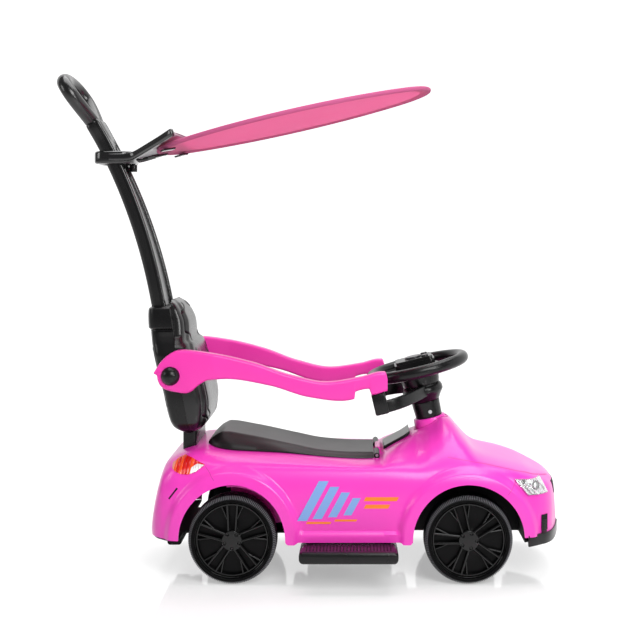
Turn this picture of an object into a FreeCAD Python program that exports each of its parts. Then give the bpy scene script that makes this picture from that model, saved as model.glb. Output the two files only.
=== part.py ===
import FreeCAD, Part
import functools
import math
import os

# Push car with handle. Millimetres, +X forward, +Y to the car's left, +Z up.
# The origin is on the ground, in the middle of the car's length and width.

V = FreeCAD.Vector
os.makedirs("parts", exist_ok=True)

# Fits
touch_gap = 0.3            # between pieces that move past each other
running_clearance = 0.1    # radial, shaft in its bore
seat_clearance = 0.15      # between a pressed-in piece and its seat

# Running gear
wheel_diameter = 145.0
wheel_width = 44.0
wheel_mid_y = 124.0        # wheel centre plane from the car's centre plane
rear_axle_x = -118.0
wheelbase = 385.0
axle_diameter = 10.0
tyre_edge = 2.5            # chamfer at the tread's shoulders
rim_lip_width = 8.0        # flat ring between tread and spokes
rim_recess = 14.0          # how deep the spokes sit in the wheel
wheel_disc = 4.0           # thickness of the disc behind the spokes
hub_diameter = 36.0
cover_ring_width = 6.0
cover_thickness = 9.0
spoke_pairs = 5
spoke_width = 5.0
spoke_spread_hub = 5.6     # half distance between twin spokes at the hub
spoke_spread_rim = 8.0     # and at the rim
fork_start = 36.0          # radius at which a side branch leaves each spoke
fork_spread = 18.0         # half distance between the branches at the rim
fork_width = 3.2
rear_cover_turn = 0.0      # degrees each cover is turned as it stands
front_cover_turn = 56.0
lug_circle = 26.0          # diameter of the lug bolt circle
lug_diameter = 5.6
push_nut_diameter = 20.0
push_nut_thickness = 2.5

# Body shell
body_front_x = 427.0
body_rear_x = -258.0
body_floor_z = 72.0
body_half_width = 142.0
shoulder_z = 190.0
body_wall = 3.0
pan_inset = 1.5            # the floor pan's edge, inside the body's edge
arch_clearance_rear = 14.5
arch_clearance_front = 18.5
flare_depth = 9.0          # how far the arch flares stand proud
flare_reach = 30.0         # how far round the arch they fade out
well_inner_y = 86.0        # inner wall of the rear wheel wells
front_well_inner_y = 69.0

# Seat and storage
deck_front_z = 193.0       # deck under the seat lid, at its front
deck_rear_z = 208.0        # and at its rear
ridge_z = 229.0            # top of the ridge behind the seat
seat_rear_x = -161.0
seat_front_x = 124.0
seat_half_width = 82.0
seat_top_half_width = 60.0
seat_rear_height = 28.0    # thickness of the lid at its rear
seat_front_height = 7.0
seat_wall = 3.0
tub_rear_x = -106.0
tub_front_x = 104.0
tub_half_width = 60.0
tub_wall = 2.5
hinge_pin_diameter = 5.0
hinge_barrel_diameter = 10.0
hinge_rise = 4.0           # hinge axis above the deck, at the lid's front edge
hinge_notch = 26.0         # half width of the body's hinge knuckle in the lid's front edge

# Steering column
column_x = 211.5           # column foot on top of the cowl
column_z = 251.5
column_lean = 13.5         # degrees back from upright
cowl_half_width = 34.0     # flat top of the cowl
sleeve_height = 28.0
sleeve_radius = 23.0
sleeve_wall = 3.0
sleeve_plate = 5.0         # bored plate at its head
sleeve_screw_x = 3.0       # screw in its side, off the column's axis
sleeve_screw_s = 11.0      # and up the column
sleeve_screw_head = 6.4
bracket_hub_radius = 35.0
bracket_hub_top = 58.0
bracket_band_low = 38.0
bracket_band_high = 55.0
guard_front_y = 95.0       # guard arm centre at its front end
block_back = 88.0          # end blocks, measured back from the column
block_length = 23.0
block_width = 22.0
block_top = 74.0
boss_radius = 36.0
boss_wall = 3.0
wheel_plane = 89.0         # rim centre plane, measured up the column
rim_diameter = 182.0
rim_tube = 20.0
spoke_depth = 11.0
spoke_breadth = 24.0
spoke_drop = 5.0           # spokes lie this far under the rim's plane
pad_length = 70.0
pad_width = 62.0
pad_low = 90.0
pad_top = 106.0
horn_diameter = 30.0
melody_diameter = 12.0
melody_y = 16.0
melody_forward = 20.0
pad_back = 3.0             # the hub cover sits a little behind the column
pad_step = 3.0             # its upper tier is drawn in by this
pad_wall = 6.0
button_proud = 3.0
button_travel = 2.0
shaft_diameter = 10.0
crank_reach = 17.6
crank_drop = 188.0         # crank below the column foot
crank_thickness = 8.0
crank_pin_length = 18.0
crank_room_rear = 34.0     # opening in the floor pan round the crank
crank_room_front = 12.0
crank_room_half_width = 26.0

# Front steering
kingpin_diameter = 8.0
kingpin_y = 92.0
knuckle_arm = 28.0
knuckle_arm_z = 61.0
knuckle_arm_thickness = 6.0
link_pin_diameter = 5.0
tie_rod_z = 52.0
tie_rod_thickness = 6.0
tie_rod_width = 13.0
arm_slot = 2.2             # extra room along the car for the knuckles' link pins
crank_slot = 4.0           # and for the crank's pin
kingpin_plate = 6.0
kingpin_low_z = 41.0
kingpin_high_z = 100.0
kingpin_eye = 16.0         # diameter of the plates' eyes
kingpin_plate_half_width = 10.0
kingpin_wall_inset = 7.0   # the upright wall inside the wheel well
kingpin_wall_thickness = 4.0
kingpin_wall_rear = 14.0   # its reach behind and ahead of the axle
kingpin_wall_front = 22.0
knuckle_half_length = 9.0
knuckle_inner = 8.0        # knuckle block inside the kingpin
knuckle_arm_width = 12.0
knuckle_gap = 2.0          # between knuckle block and wheel
link_pin_drop = 3.0        # link pins reach this far under the tie rod
link_head_rim = 2.0
tie_rod_end = 9.0          # bar left outside the link pins

# Chassis
floor_thickness = 3.0
screw_side_y = 128.0
axle_block_width = 18.0
axle_block_half_length = 16.0
axle_block_half_height = 13.0
bridge_reach = 20.0        # shaft bearing plate, behind the crank
bridge_low = 6.0           # its height over the floor pan
bridge_thickness = 6.0
screw_diameter = 4.0
screw_head = 8.0

# Anti-tip bracket
tip_foot_inset = 32.0      # foot bar ahead of the body's tail
tip_foot_length = 24.0
tip_foot_half_width = 50.0
tip_foot_z = 40.0
tip_strap_y = 38.0
tip_strap_width = 16.0
tip_strap_lean = 22.0      # straps reach this far forward at the floor pan

# Footrests
footrest_rear_x = -7.0
footrest_front_x = 151.0
footrest_outer_y = 200.0
footrest_stop = 4.0        # left between tray and straps when pushed in
footrest_height = 20.0
footrest_wall = 3.0
footrest_travel = 40.0
footrest_tread_y = 150.0   # the tread in the open starts here
footrest_step = 0.6
footrest_rounding = 6.0
tongue_width = 20.0
tongue_thickness = 9.0
tongue_inset = 22.0        # tongue centres from the tray's ends
tongue_overlap = 5.0       # tongues reach this far past the straps
strap_inner_y = 60.0
strap_width = 26.0
strap_thickness = 4.0

# Backrest
backrest_half_width = 104.0
head_half_width = 63.0
backrest_low_z = 241.0
shoulder_top_z = 405.0
backrest_top_z = 456.0
backrest_wall = 3.0
seam_low_x = -193.0        # parting line between the two shells
seam_high_x = -232.0
back_bulge = 2.0           # crown of the front pad
post_rear_x = -210.0
post_front_x = -187.0
post_half_width = 62.0
post_depth = 26.0          # how far the post plugs into the body

# Guard arms
guard_pivot_x = -220.0
guard_pivot_z = 338.0
guard_rear_y = 120.5       # guard arm centre at the pivot
guard_thickness = 23.0
guard_front_x = 134.0
guard_bend_x = -150.0      # the arms run straight to here, then draw in
pivot_boss_diameter = 36.0
pivot_pin_diameter = 12.0
knob_diameter = 31.0
knob_height = 11.0

# Push handle
handle_foot_x = -255.0     # centre line where it leaves the backrest
handle_foot_z = 450.0
handle_lean = 10.5         # degrees, at the foot
handle_radius = 952.0      # bend of the centre line
handle_plug = 42.0         # length inside the backrest
handle_thickness = 25.0
handle_foot_width = 92.0
handle_neck_width = 62.0
grip_width = 134.0
grip_tube = 25.0
handle_length = 437.0      # along the bend, from the backrest to the tip
grip_length = 137.0        # the loop grip's share of it, from the neck up
grip_widest = 49.0         # widest place of the grip, below the tip

# Canopy
canopy_length = 490.0
canopy_width = 345.0
canopy_end_radius = 135.0
canopy_tilt = 12.9         # degrees, rising to the front
canopy_rear_x = -263.0
canopy_rear_z = 712.0
hem_diameter = 9.0
wire_diameter = 5.0
cloth_thickness = 1.2
clamp_low_z = 691.0        # clamp ring round the push handle
clamp_height = 22.0
clamp_rear_x = -369.0
clamp_front_x = -300.0
clamp_half_width = 40.0
clamp_corner = 14.0
fan_low_z = 703.0          # underside of the fan plate where it meets the clamp
fan_rise = 32.0            # from there to its front edge
fan_front_x = -217.0
fan_rear_half_width = 40.0
fan_front_half_width = 118.0
fan_thickness = 4.0
fan_rim_depth = 5.0        # side rims, below the plate
fan_rim_height = 5.0       # and above it
fan_rim_width = 7.0
saddle_half_width = 9.0    # clips that hold the hem under the fan plate
saddle_wall = 3.0
saddle_turn = 38.0         # degrees round the canopy's end to the outer clips
clamp_knob_diameter = 14.0
clamp_knob_length = 12.0
clamp_screw_diameter = 5.0
clamp_screw_inset = 3.5    # metal left in front of the thumb screw
clamp_screw_reach = 14.0

# Lamps and trim on the body
lamp_thickness = 2.5
reflector_thickness = 0.8
trim_thickness = 1.6
dash_thickness = 6.0
dash_half_width = 34.0
dash_rear_x = 131.0
dash_front_x = 176.0
lip_low_z = 62.0
lip_top_z = 80.0
lip_rear_x = 364.0
lip_proud = 2.0
lip_wall = 5.0
cowl_cone_radius = 27.0    # flat top under the sleeve
cowl_cone_foot = 50.0
cowl_cone_height = 34.0

# Screws
small_screw_diameter = 4.0
small_screw_head = 8.0
screw_head_height = 2.2
screw_post_diameter = 10.0
back_screw_y = 66.0
back_screw_low_z = 292.0
back_screw_high_z = 376.0
handle_screw_y = 24.0
handle_screw_z = 424.0

# Worked out from the sizes above
wheel_radius = wheel_diameter / 2
front_axle_x = rear_axle_x + wheelbase
axle_z = wheel_radius
axle_radius = axle_diameter / 2
wheel_inner_y = wheel_mid_y - wheel_width / 2
wheel_outer_y = wheel_mid_y + wheel_width / 2
rear_arch_radius = wheel_radius + arch_clearance_rear
front_arch_radius = wheel_radius + arch_clearance_front
floor_top_z = body_floor_z
floor_low_z = floor_top_z - floor_thickness
axle_block_y = well_inner_y - axle_block_width - body_wall
column_frame = FreeCAD.Placement(
    V(column_x, 0, column_z), FreeCAD.Rotation(V(0, 1, 0), -column_lean))
shaft_radius = shaft_diameter / 2
rim_radius = rim_diameter / 2 - rim_tube / 2
footrest_inner_y = strap_inner_y + strap_width + footrest_travel + footrest_stop
footrest_top_z = floor_low_z - touch_gap
tongue_low_z = footrest_top_z - tongue_thickness
disc_y = wheel_outer_y - rim_recess
recess_radius = wheel_radius - tyre_edge - rim_lip_width
hub_face_y = disc_y + 6
stub_end_y = hub_face_y + push_nut_thickness + 1
link_x = front_axle_x - knuckle_arm
guard_inner_y = guard_rear_y - guard_thickness / 2
hinge_axis = V(seat_front_x - hinge_barrel_diameter / 2, 0, deck_front_z + hinge_rise)
guard_pivot = V(guard_pivot_x, 0, guard_pivot_z)
rear_axle_centre = V(rear_axle_x, 0, axle_z)
neck_station = handle_length - grip_length
grip_station = handle_length - grip_widest
clamp_knob_x = clamp_front_x - clamp_screw_diameter / 2 - clamp_screw_inset
crank_x = column_x + crank_drop * math.sin(math.radians(column_lean))
kingpin_wall_y = front_well_inner_y - kingpin_wall_inset
link_pin_low_z = tie_rod_z - link_pin_drop
Y_AXIS = V(0, 1, 0)
FAR = 1000.0               # reach of cutting blocks


def save(name, shape):
    """Write one sub-part."""
    shape.exportStep("parts/" + name + ".step")


def box(x0, x1, y0, y1, z0, z1):
    return Part.makeBox(x1 - x0, y1 - y0, z1 - z0, V(x0, y0, z0))


def rod(radius, start, end):
    """A round bar from one point to another."""
    along = end - start
    return Part.makeCylinder(radius, along.Length, start, along)


def along_y(radius, centre, y0, y1):
    """A round bar across the car through a point of the side view."""
    return rod(radius, V(centre.x, y0, centre.z), V(centre.x, y1, centre.z))


def mirrored(shape):
    """The same piece on the other side of the car."""
    return shape.mirror(V(0, 0, 0), Y_AXIS)


def both_sides(shape):
    return Part.makeCompound([shape, mirrored(shape)])


def side_prism(outline, y0, y1):
    """A flat outline of (x, z) points, carried across the car from y0 to y1."""
    points = [V(x, y0, z) for x, z in outline]
    face = Part.Face(Part.makePolygon(points + points[:1]))
    return face.extrude(V(0, y1 - y0, 0))


def in_column(shape):
    """Move a piece drawn on an upright column to the car's leaning column."""
    placed = shape.copy()
    placed.Placement = column_frame.multiply(placed.Placement)
    return placed


def turned(profile):
    """A solid of revolution from (radius, height) points round an upright axis."""
    points = [V(r, 0, z) for r, z in profile]
    face = Part.Face(Part.makePolygon(points + points[:1]))
    return face.revolve(V(0, 0, 0), V(0, 0, 1), 360)


def smooth_line(points):
    """A line through hand-set (x, value) points that never overshoots them."""
    xs = [p[0] for p in points]
    ys = [p[1] for p in points]
    rises = [(ys[i + 1] - ys[i]) / (xs[i + 1] - xs[i]) for i in range(len(xs) - 1)]
    slopes = [rises[0]]
    for before, after in zip(rises, rises[1:]):
        slopes.append(0.0 if before * after <= 0 else 2 * before * after / (before + after))
    slopes.append(rises[-1])

    def value(x):
        x = min(max(x, xs[0]), xs[-1])
        i = max(k for k in range(len(xs) - 1) if xs[k] <= x)
        width = xs[i + 1] - xs[i]
        t = (x - xs[i]) / width
        return ((1 + 2 * t) * (1 - t) ** 2 * ys[i] + t * (1 - t) ** 2 * width * slopes[i]
                + t * t * (3 - 2 * t) * ys[i + 1] + t * t * (t - 1) * width * slopes[i + 1])

    return value


def clamped_knots(count):
    """Even knots and their multiplicities for a cubic spline that ends on its first and last poles."""
    inner = count - 4
    return list(range(inner + 2)), [4] + [1] * inner + [4]


def skin_solid(rows):
    """A solid under a smooth skin: each row is an open arch of poles across the car."""
    along, along_counts = clamped_knots(len(rows))
    across, across_counts = clamped_knots(len(rows[0]))
    surface = Part.BSplineSurface()
    surface.buildFromPolesMultsKnots(rows, along_counts, across_counts, along, across, False, False, 3, 3)
    u0, u1, v0, v1 = surface.bounds()
    faces = [surface.toShape()]
    for u in (u0, u1):
        arch = surface.uIso(u).toShape()
        chord = Part.makeLine(arch.Vertexes[-1].Point, arch.Vertexes[0].Point)
        faces.append(Part.Face(Part.Wire([arch, chord])))
    low_edges = [surface.vIso(v).toShape() for v in (v0, v1)]
    faces.append(Part.makeRuledSurface(low_edges[0], low_edges[1]))
    shell = Part.makeShell(faces)
    shell.sewShape()
    solid = Part.makeSolid(shell)
    if solid.Volume < 0:
        solid.reverse()
    return solid


# Lines of the body: hand-set stations along the car, as on a boat's lines plan
cowl_rear_x = column_x - 24.0
cowl_front_x = column_x + 26.0
cowl_slope = math.tan(math.radians(column_lean))
nose_x = body_front_x
tail_x = body_rear_x
top_line = smooth_line([
    (tail_x, body_floor_z + 24), (tail_x + 4, body_floor_z + 50), (tail_x + 10, body_floor_z + 76),
    (tail_x + 17, body_floor_z + 101), (tail_x + 26, body_floor_z + 119), (tail_x + 40, ridge_z - 22),
    (tail_x + 58, ridge_z - 8), (tail_x + 78, ridge_z), (seat_rear_x - 3, ridge_z - 4),
    (seat_rear_x + 15, deck_rear_z + 3), (seat_rear_x + 35, deck_rear_z),
    (-38, deck_rear_z - 5), (52, deck_front_z + 2), (97, deck_front_z),
    (seat_front_x + 1, deck_front_z + 0.5),
    (seat_front_x + 10, deck_front_z + 8), (cowl_rear_x - 6, column_z - 21),
    (cowl_rear_x, column_z - 24 * cowl_slope), (column_x, column_z),
    (cowl_front_x, column_z + 25 * cowl_slope), (cowl_front_x + 7, column_z + 1),
    (cowl_front_x + 30, column_z - 22), (cowl_front_x + 50, column_z - 41),
    (325, column_z - 49.5), (367, column_z - 65), (388, column_z - 76), (nose_x - 22, column_z - 84),
    (nose_x - 9.5, column_z - 92), (nose_x - 6, column_z - 100), (nose_x - 2, column_z - 123),
    (nose_x, column_z - 150)])
side_line = smooth_line([
    (tail_x, body_half_width - 54), (tail_x + 4, body_half_width - 38), (tail_x + 12, body_half_width - 24),
    (tail_x + 26, body_half_width - 12), (tail_x + 53, body_half_width - 4), (rear_axle_x, body_half_width),
    (column_x, body_half_width - 1), (front_axle_x, body_half_width), (340, body_half_width - 3),
    (375, body_half_width - 10), (nose_x - 36, body_half_width - 19), (nose_x - 26, body_half_width - 29),
    (nose_x - 18, body_half_width - 42), (nose_x - 13, body_half_width - 56),
    (nose_x - 8, body_half_width - 72),
    (nose_x - 4, body_half_width - 90), (nose_x, body_half_width - 108)])
shoulder_line = smooth_line([
    (tail_x, body_floor_z + 16), (tail_x + 6, body_floor_z + 46), (tail_x + 14, body_floor_z + 78),
    (tail_x + 24, shoulder_z - 18), (tail_x + 43, shoulder_z - 5), (tail_x + 78, shoulder_z),
    (column_x, shoulder_z - 1), (front_axle_x, shoulder_z - 1), (330, shoulder_z - 8), (367, shoulder_z - 18),
    (nose_x - 32, shoulder_z - 30), (nose_x - 17, shoulder_z - 41), (nose_x - 7, shoulder_z - 58),
    (nose_x, body_floor_z + 20)])
top_width_line = smooth_line([
    (tail_x, 60), (tail_x + 18, 85), (tail_x + 43, 95), (tail_x + 78, 100),
    (rear_axle_x, seat_half_width + 14),
    (0, seat_half_width + 10), (seat_front_x - 14, seat_half_width + 10),
    (seat_front_x + 5, seat_half_width + 6),
    (160, cowl_half_width + 32), (cowl_rear_x, cowl_half_width + 6), (column_x - 12, cowl_half_width),
    (column_x + 18, cowl_half_width), (cowl_front_x + 6, cowl_half_width + 4), (cowl_front_x + 30, 56),
    (290, 70),
    (340, 76), (390, 70), (nose_x - 12, 54), (nose_x - 4, 34), (nose_x, 20)])


def flare(x, z):
    """How far the arch flares push the side out: full at the arch edge, fading outwards."""
    proud = 0.0
    for axle_x, radius in ((rear_axle_x, rear_arch_radius), (front_axle_x, front_arch_radius)):
        outside = math.hypot(x - axle_x, z - axle_z) - radius
        fade = min(max(1 - outside / flare_reach, 0), 1)
        proud = max(proud, flare_depth * fade * fade * (3 - 2 * fade))
    return proud


def body_arch(x, inset, floor_z, count):
    """Points over the body at station x, from the right floor edge to the left one."""
    side = side_line(x) - inset
    crest = shoulder_line(x) - inset
    top = top_line(x) - inset
    top_width = top_width_line(x) - inset
    half = [(side - 1, floor_z), (side + 1, body_floor_z + 0.4 * (crest - body_floor_z)),
            (side, crest - 0.25 * (crest - body_floor_z)), (side - 9, crest),
            (side - 9 + 0.5 * (top_width - side + 9), crest + 0.5 * (top - crest)),
            (top_width, top), (0.5 * top_width, top)]
    poles = [V(x, -y, z) for y, z in half] + [V(x, 0, top)] + [V(x, y, z) for y, z in reversed(half)]
    curve = Part.BSplineCurve()
    curve.buildFromPoles(poles)
    first, last = curve.FirstParameter, curve.LastParameter
    points = [curve.value(first + (last - first) * k / (count - 1)) for k in range(count)]
    for point in points:
        if abs(point.y) > 0.7 * side:
            point.y += math.copysign(flare(point.x, point.z), point.y)
    return points


@functools.lru_cache(maxsize=None)
def body_solid(inset, floor_z):
    """The body's outer form, drawn in by inset on every side but the floor."""
    middle = (body_front_x + body_rear_x) / 2
    half_length = (body_front_x - body_rear_x) / 2
    count = 53
    rows = []
    for k in range(count):
        # stations crowd towards the nose and the tail
        t = 2 * k / (count - 1) - 1
        spread = 0.55 * t + 0.45 * math.sin(t * math.pi / 2)
        station = middle + half_length * spread
        arch = body_arch(station, inset, floor_z, 35)
        shift = V(-inset * spread, 0, 0)
        rows.append([point + shift for point in arch])
    return skin_solid(rows)


def wheel_well(axle_x, radius, inner_y):
    """The round space of one wheel well, left and right, open outwards."""
    well = rod(radius, V(axle_x, inner_y, axle_z), V(axle_x, FAR, axle_z))
    return well.fuse(mirrored(well))


def screw_places():
    """Floor screws: behind and ahead of the footrests, at the tail and at the nose."""
    margin = 14.0
    return [(footrest_rear_x - margin, screw_side_y), (footrest_front_x + margin, screw_side_y),
            (body_rear_x + 26, post_half_width - 2), (body_front_x - 35, post_half_width - 17)]


def post_block(gap, low):
    """The backrest's post where it plugs into the body, grown by gap."""
    return box(post_rear_x - gap, post_front_x + gap, -post_half_width - gap, post_half_width + gap,
               low, backrest_low_z + 6)


post_foot_z = top_line((post_rear_x + post_front_x) / 2) - post_depth


def hinge_knuckle():
    """The body's knuckle that stands in the notch of the lid's front edge."""
    half = hinge_notch - touch_gap
    radius = hinge_barrel_diameter / 2
    round_part = along_y(radius, hinge_axis, -half, half)
    foot = box(hinge_axis.x - 0.6 * radius, hinge_axis.x + 0.6 * radius, -half, half,
               deck_front_z - body_wall,
               hinge_axis.z)
    bore = along_y(hinge_pin_diameter / 2 + seat_clearance, hinge_axis, -FAR, FAR)
    return round_part.fuse(foot).cut(bore)


def cowl_cone():
    """Round foot on the cowl that carries the column sleeve."""
    cone = turned([(0, -cowl_cone_height), (cowl_cone_foot, -cowl_cone_height), (cowl_cone_radius, 0),
                   (0, 0)])
    return in_column(cone)


def body_shell():
    """The moulded body: a thin wall under one skin, with wells, sockets and screw posts."""
    rear_well = wheel_well(rear_axle_x, rear_arch_radius, well_inner_y)
    rear_liner = wheel_well(rear_axle_x, rear_arch_radius + body_wall, well_inner_y - body_wall)
    front_well = wheel_well(front_axle_x, front_arch_radius, front_well_inner_y)
    kept = [rear_liner, post_block(seat_clearance + body_wall, post_foot_z - body_wall)]
    cuts = [rear_well, front_well, post_block(seat_clearance, post_foot_z)]
    for x, y in screw_places():
        for side in (-y, y):
            kept.append(rod(screw_head * 0.8, V(x, side, 0), V(x, side, FAR)))
            cuts.append(rod(screw_diameter / 2 + seat_clearance, V(x, side, 0),
                            V(x, side, body_floor_z + 16)))
    hollow = body_solid(body_wall, body_floor_z - 10).cut(kept)
    cuts.append(box(tub_rear_x + tub_wall, tub_front_x - tub_wall, -tub_half_width + tub_wall,
                    tub_half_width - tub_wall, deck_front_z - 40, FAR))
    groove_radius = hinge_barrel_diameter / 2 + touch_gap
    for side in (1, -1):
        ends = sorted((side * hinge_notch, side * (seat_half_width + touch_gap)))
        cuts.append(along_y(groove_radius, hinge_axis, ends[0], ends[1]))
    cuts.append(along_y(axle_radius + 2, rear_axle_centre, -wheel_mid_y, wheel_mid_y))
    cuts.append(along_y(hinge_pin_diameter / 2 + seat_clearance, hinge_axis, -hinge_notch, hinge_notch))
    shaft_hole = in_column(rod(shaft_radius + 2, V(0, 0, -crank_drop / 2), V(0, 0, 1)))
    sleeve_room = in_column(rod(sleeve_radius + 2, V(0, 0, 0), V(0, 0, sleeve_height)))
    shell = body_solid(0, body_floor_z).cut([hollow] + cuts)
    return shell.fuse([hinge_knuckle().cut(hollow), cowl_cone().cut(hollow)]).cut([shaft_hole, sleeve_room])


def front_liners():
    """Black cups that close the front wheel wells inwards."""
    wall = 2.0
    room = body_solid(body_wall + seat_clearance, body_floor_z)
    cups = wheel_well(front_axle_x, front_arch_radius + wall, front_well_inner_y - wall)
    cups = cups.common(room).cut(wheel_well(front_axle_x, front_arch_radius, front_well_inner_y))
    window = box(front_axle_x - 30, front_axle_x + 30, -FAR, FAR, 0, kingpin_high_z + kingpin_plate + 4)
    return cups.cut(window)


def trim(outline, y0, y1, low, high):
    """A thin piece lying on the body between two heights over its skin, inside a side-view outline."""
    block = side_prism(outline, y0, y1)
    return block.common(body_solid(-high, body_floor_z)).cut(body_solid(-low, body_floor_z))


def head_lamp(low, high):
    """Left headlight layer, wrapped round the front corner."""
    outline = [(nose_x - 80, shoulder_z - 23), (nose_x - 31, shoulder_z - 30), (nose_x - 21, shoulder_z - 51),
               (nose_x - 55, shoulder_z - 51), (nose_x - 68, shoulder_z - 38)]
    return trim(outline, 58, FAR, low, high)


def tail_lamps():
    """Left tail-light: red part and clear tip."""
    red = [(tail_x + 55, shoulder_z + 14), (tail_x + 75, shoulder_z + 5), (tail_x + 75, shoulder_z - 10),
           (tail_x + 65, shoulder_z - 16), (tail_x + 34, shoulder_z - 12), (tail_x + 36, shoulder_z - 4)]
    tip = [(tail_x + 75.5, shoulder_z + 5), (tail_x + 92, shoulder_z), (tail_x + 75.5, shoulder_z - 10)]
    return [trim(outline, 70, FAR, seat_clearance, lamp_thickness) for outline in (red, tip)]


def front_grille():
    low, high = shoulder_z - 57, shoulder_z - 37
    outline = [(nose_x - 30, low), (nose_x + 20, low), (nose_x + 20, high), (nose_x - 30, high)]
    return trim(outline, -66, 66, seat_clearance, trim_thickness)


def side_vent():
    """Left upright vent at the front corner of the bumper."""
    low, high = lip_top_z + 4, lip_top_z + 30
    outline = [(nose_x - 39, low), (nose_x - 28, low), (nose_x - 28, high), (nose_x - 39, high)]
    return trim(outline, 80, FAR, seat_clearance, trim_thickness)


def dash_panel():
    """Thick strip that lies on the cowl's rear slope, its ends clear of the column's foot."""
    outline = [(dash_rear_x, shoulder_z), (dash_front_x, shoulder_z), (dash_front_x, FAR), (dash_rear_x, FAR)]
    return trim(outline, -dash_half_width, dash_half_width, seat_clearance, dash_thickness)


def bumper_lip():
    """Black lip round the foot of the nose."""
    region = box(lip_rear_x, FAR, -FAR, FAR, lip_low_z, lip_top_z)
    lip = region.common(body_solid(-lip_proud, lip_low_z))
    under_pan = body_solid(lip_wall - lip_proud, lip_low_z - 1)
    pan_room = body_solid(pan_inset - touch_gap, lip_low_z - 1).common(
        box(0, FAR, -FAR, FAR, floor_low_z - touch_gap, FAR))
    return lip.cut([body_solid(-seat_clearance, body_floor_z - seat_clearance), under_pan, pan_room])


def chassis():
    """Floor pan with axle blocks, kingpin plates, shaft bearing and footrest straps."""
    pan = body_solid(pan_inset, floor_low_z).common(box(-FAR, FAR, -FAR, FAR, floor_low_z, floor_top_z))
    for axle_x, radius, inner in ((rear_axle_x, rear_arch_radius, well_inner_y - body_wall),
                                  (front_axle_x, front_arch_radius, front_well_inner_y - body_wall)):
        bay = box(axle_x - radius, axle_x + radius, inner, FAR, 0, FAR)
        pan = pan.cut([bay, mirrored(bay)])
    wall_y = kingpin_wall_y
    pan = pan.cut(box(crank_x - crank_room_rear, crank_x + crank_room_front, -crank_room_half_width,
                      crank_room_half_width, 0, FAR))
    added = []
    for side in (1, -1):
        wall = box(front_axle_x - kingpin_wall_rear, front_axle_x + kingpin_wall_front,
                   wall_y - kingpin_wall_thickness, wall_y, kingpin_low_z, kingpin_high_z + kingpin_plate)
        plates = [wall]
        for z in (kingpin_low_z, kingpin_high_z):
            plate = box(front_axle_x - kingpin_plate_half_width, front_axle_x + kingpin_plate_half_width,
                        wall_y - kingpin_wall_thickness / 2, kingpin_y, z, z + kingpin_plate)
            nose = rod(kingpin_eye / 2, V(front_axle_x, kingpin_y, z),
                       V(front_axle_x, kingpin_y, z + kingpin_plate))
            bore = rod(kingpin_diameter / 2 + running_clearance, V(front_axle_x, kingpin_y, z - 1),
                       V(front_axle_x, kingpin_y, z + kingpin_plate + 1))
            plates.append(plate.fuse(nose).cut(bore))
        block = box(rear_axle_x - axle_block_half_length, rear_axle_x + axle_block_half_length, axle_block_y,
                    axle_block_y + axle_block_width, axle_z - axle_block_half_height,
                    axle_z + axle_block_half_height)
        plates.append(block)
        for x in tongue_places():
            strap = box(x - tongue_width / 2 - strap_thickness, x + tongue_width / 2 + strap_thickness,
                        strap_inner_y, strap_inner_y + strap_width,
                        tongue_low_z - touch_gap - strap_thickness, floor_low_z + 1)
            slot = box(x - tongue_width / 2 - touch_gap, x + tongue_width / 2 + touch_gap,
                       strap_inner_y - 1, strap_inner_y + strap_width + 1, tongue_low_z - touch_gap,
                       floor_low_z)
            plates.append(strap.cut(slot))
        added += [p if side > 0 else mirrored(p) for p in plates]
    reach_y = wall_y - kingpin_wall_thickness / 2
    front_x = front_axle_x + kingpin_wall_front
    bridge_top = floor_top_z + bridge_low + bridge_thickness
    bridge = box(crank_x - bridge_reach, front_x, -reach_y, reach_y, floor_top_z + bridge_low, bridge_top)
    end_wall = box(front_x - bridge_thickness, front_x, -reach_y, reach_y, floor_low_z, bridge_top)
    pan = pan.fuse(added + [bridge, end_wall])
    shaft_bore = in_column(rod(shaft_radius + running_clearance, V(0, 0, -crank_drop),
                               V(0, 0, -crank_drop / 2)))
    axle_bore = along_y(axle_radius + seat_clearance, rear_axle_centre, -FAR, FAR)
    screw_bores = [rod(screw_diameter / 2 + seat_clearance, V(x, side * y, 0),
                       V(x, side * y, floor_top_z + 1))
                   for x, y in screw_places() for side in (1, -1)]
    return pan.cut([shaft_bore, axle_bore] + screw_bores)


def chassis_screws():
    screws = []
    for x, y in screw_places():
        for side in (-y, y):
            head = rod(screw_head / 2, V(x, side, floor_low_z - 2.5), V(x, side, floor_low_z))
            shank = rod(screw_diameter / 2, V(x, side, floor_low_z - 1), V(x, side, body_floor_z + 14))
            screws.append(head.fuse(shank))
    return Part.makeCompound(screws)


def storage_tub():
    """Open box under the seat lid, standing on the floor pan and reaching up to the deck."""
    room = body_solid(body_wall + seat_clearance, body_floor_z)
    outer = box(tub_rear_x, tub_front_x, -tub_half_width, tub_half_width, floor_top_z, FAR)
    inner = box(tub_rear_x + tub_wall, tub_front_x - tub_wall, -tub_half_width + tub_wall,
                tub_half_width - tub_wall, floor_top_z + tub_wall, FAR)
    return outer.common(room).cut(inner)


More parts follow.
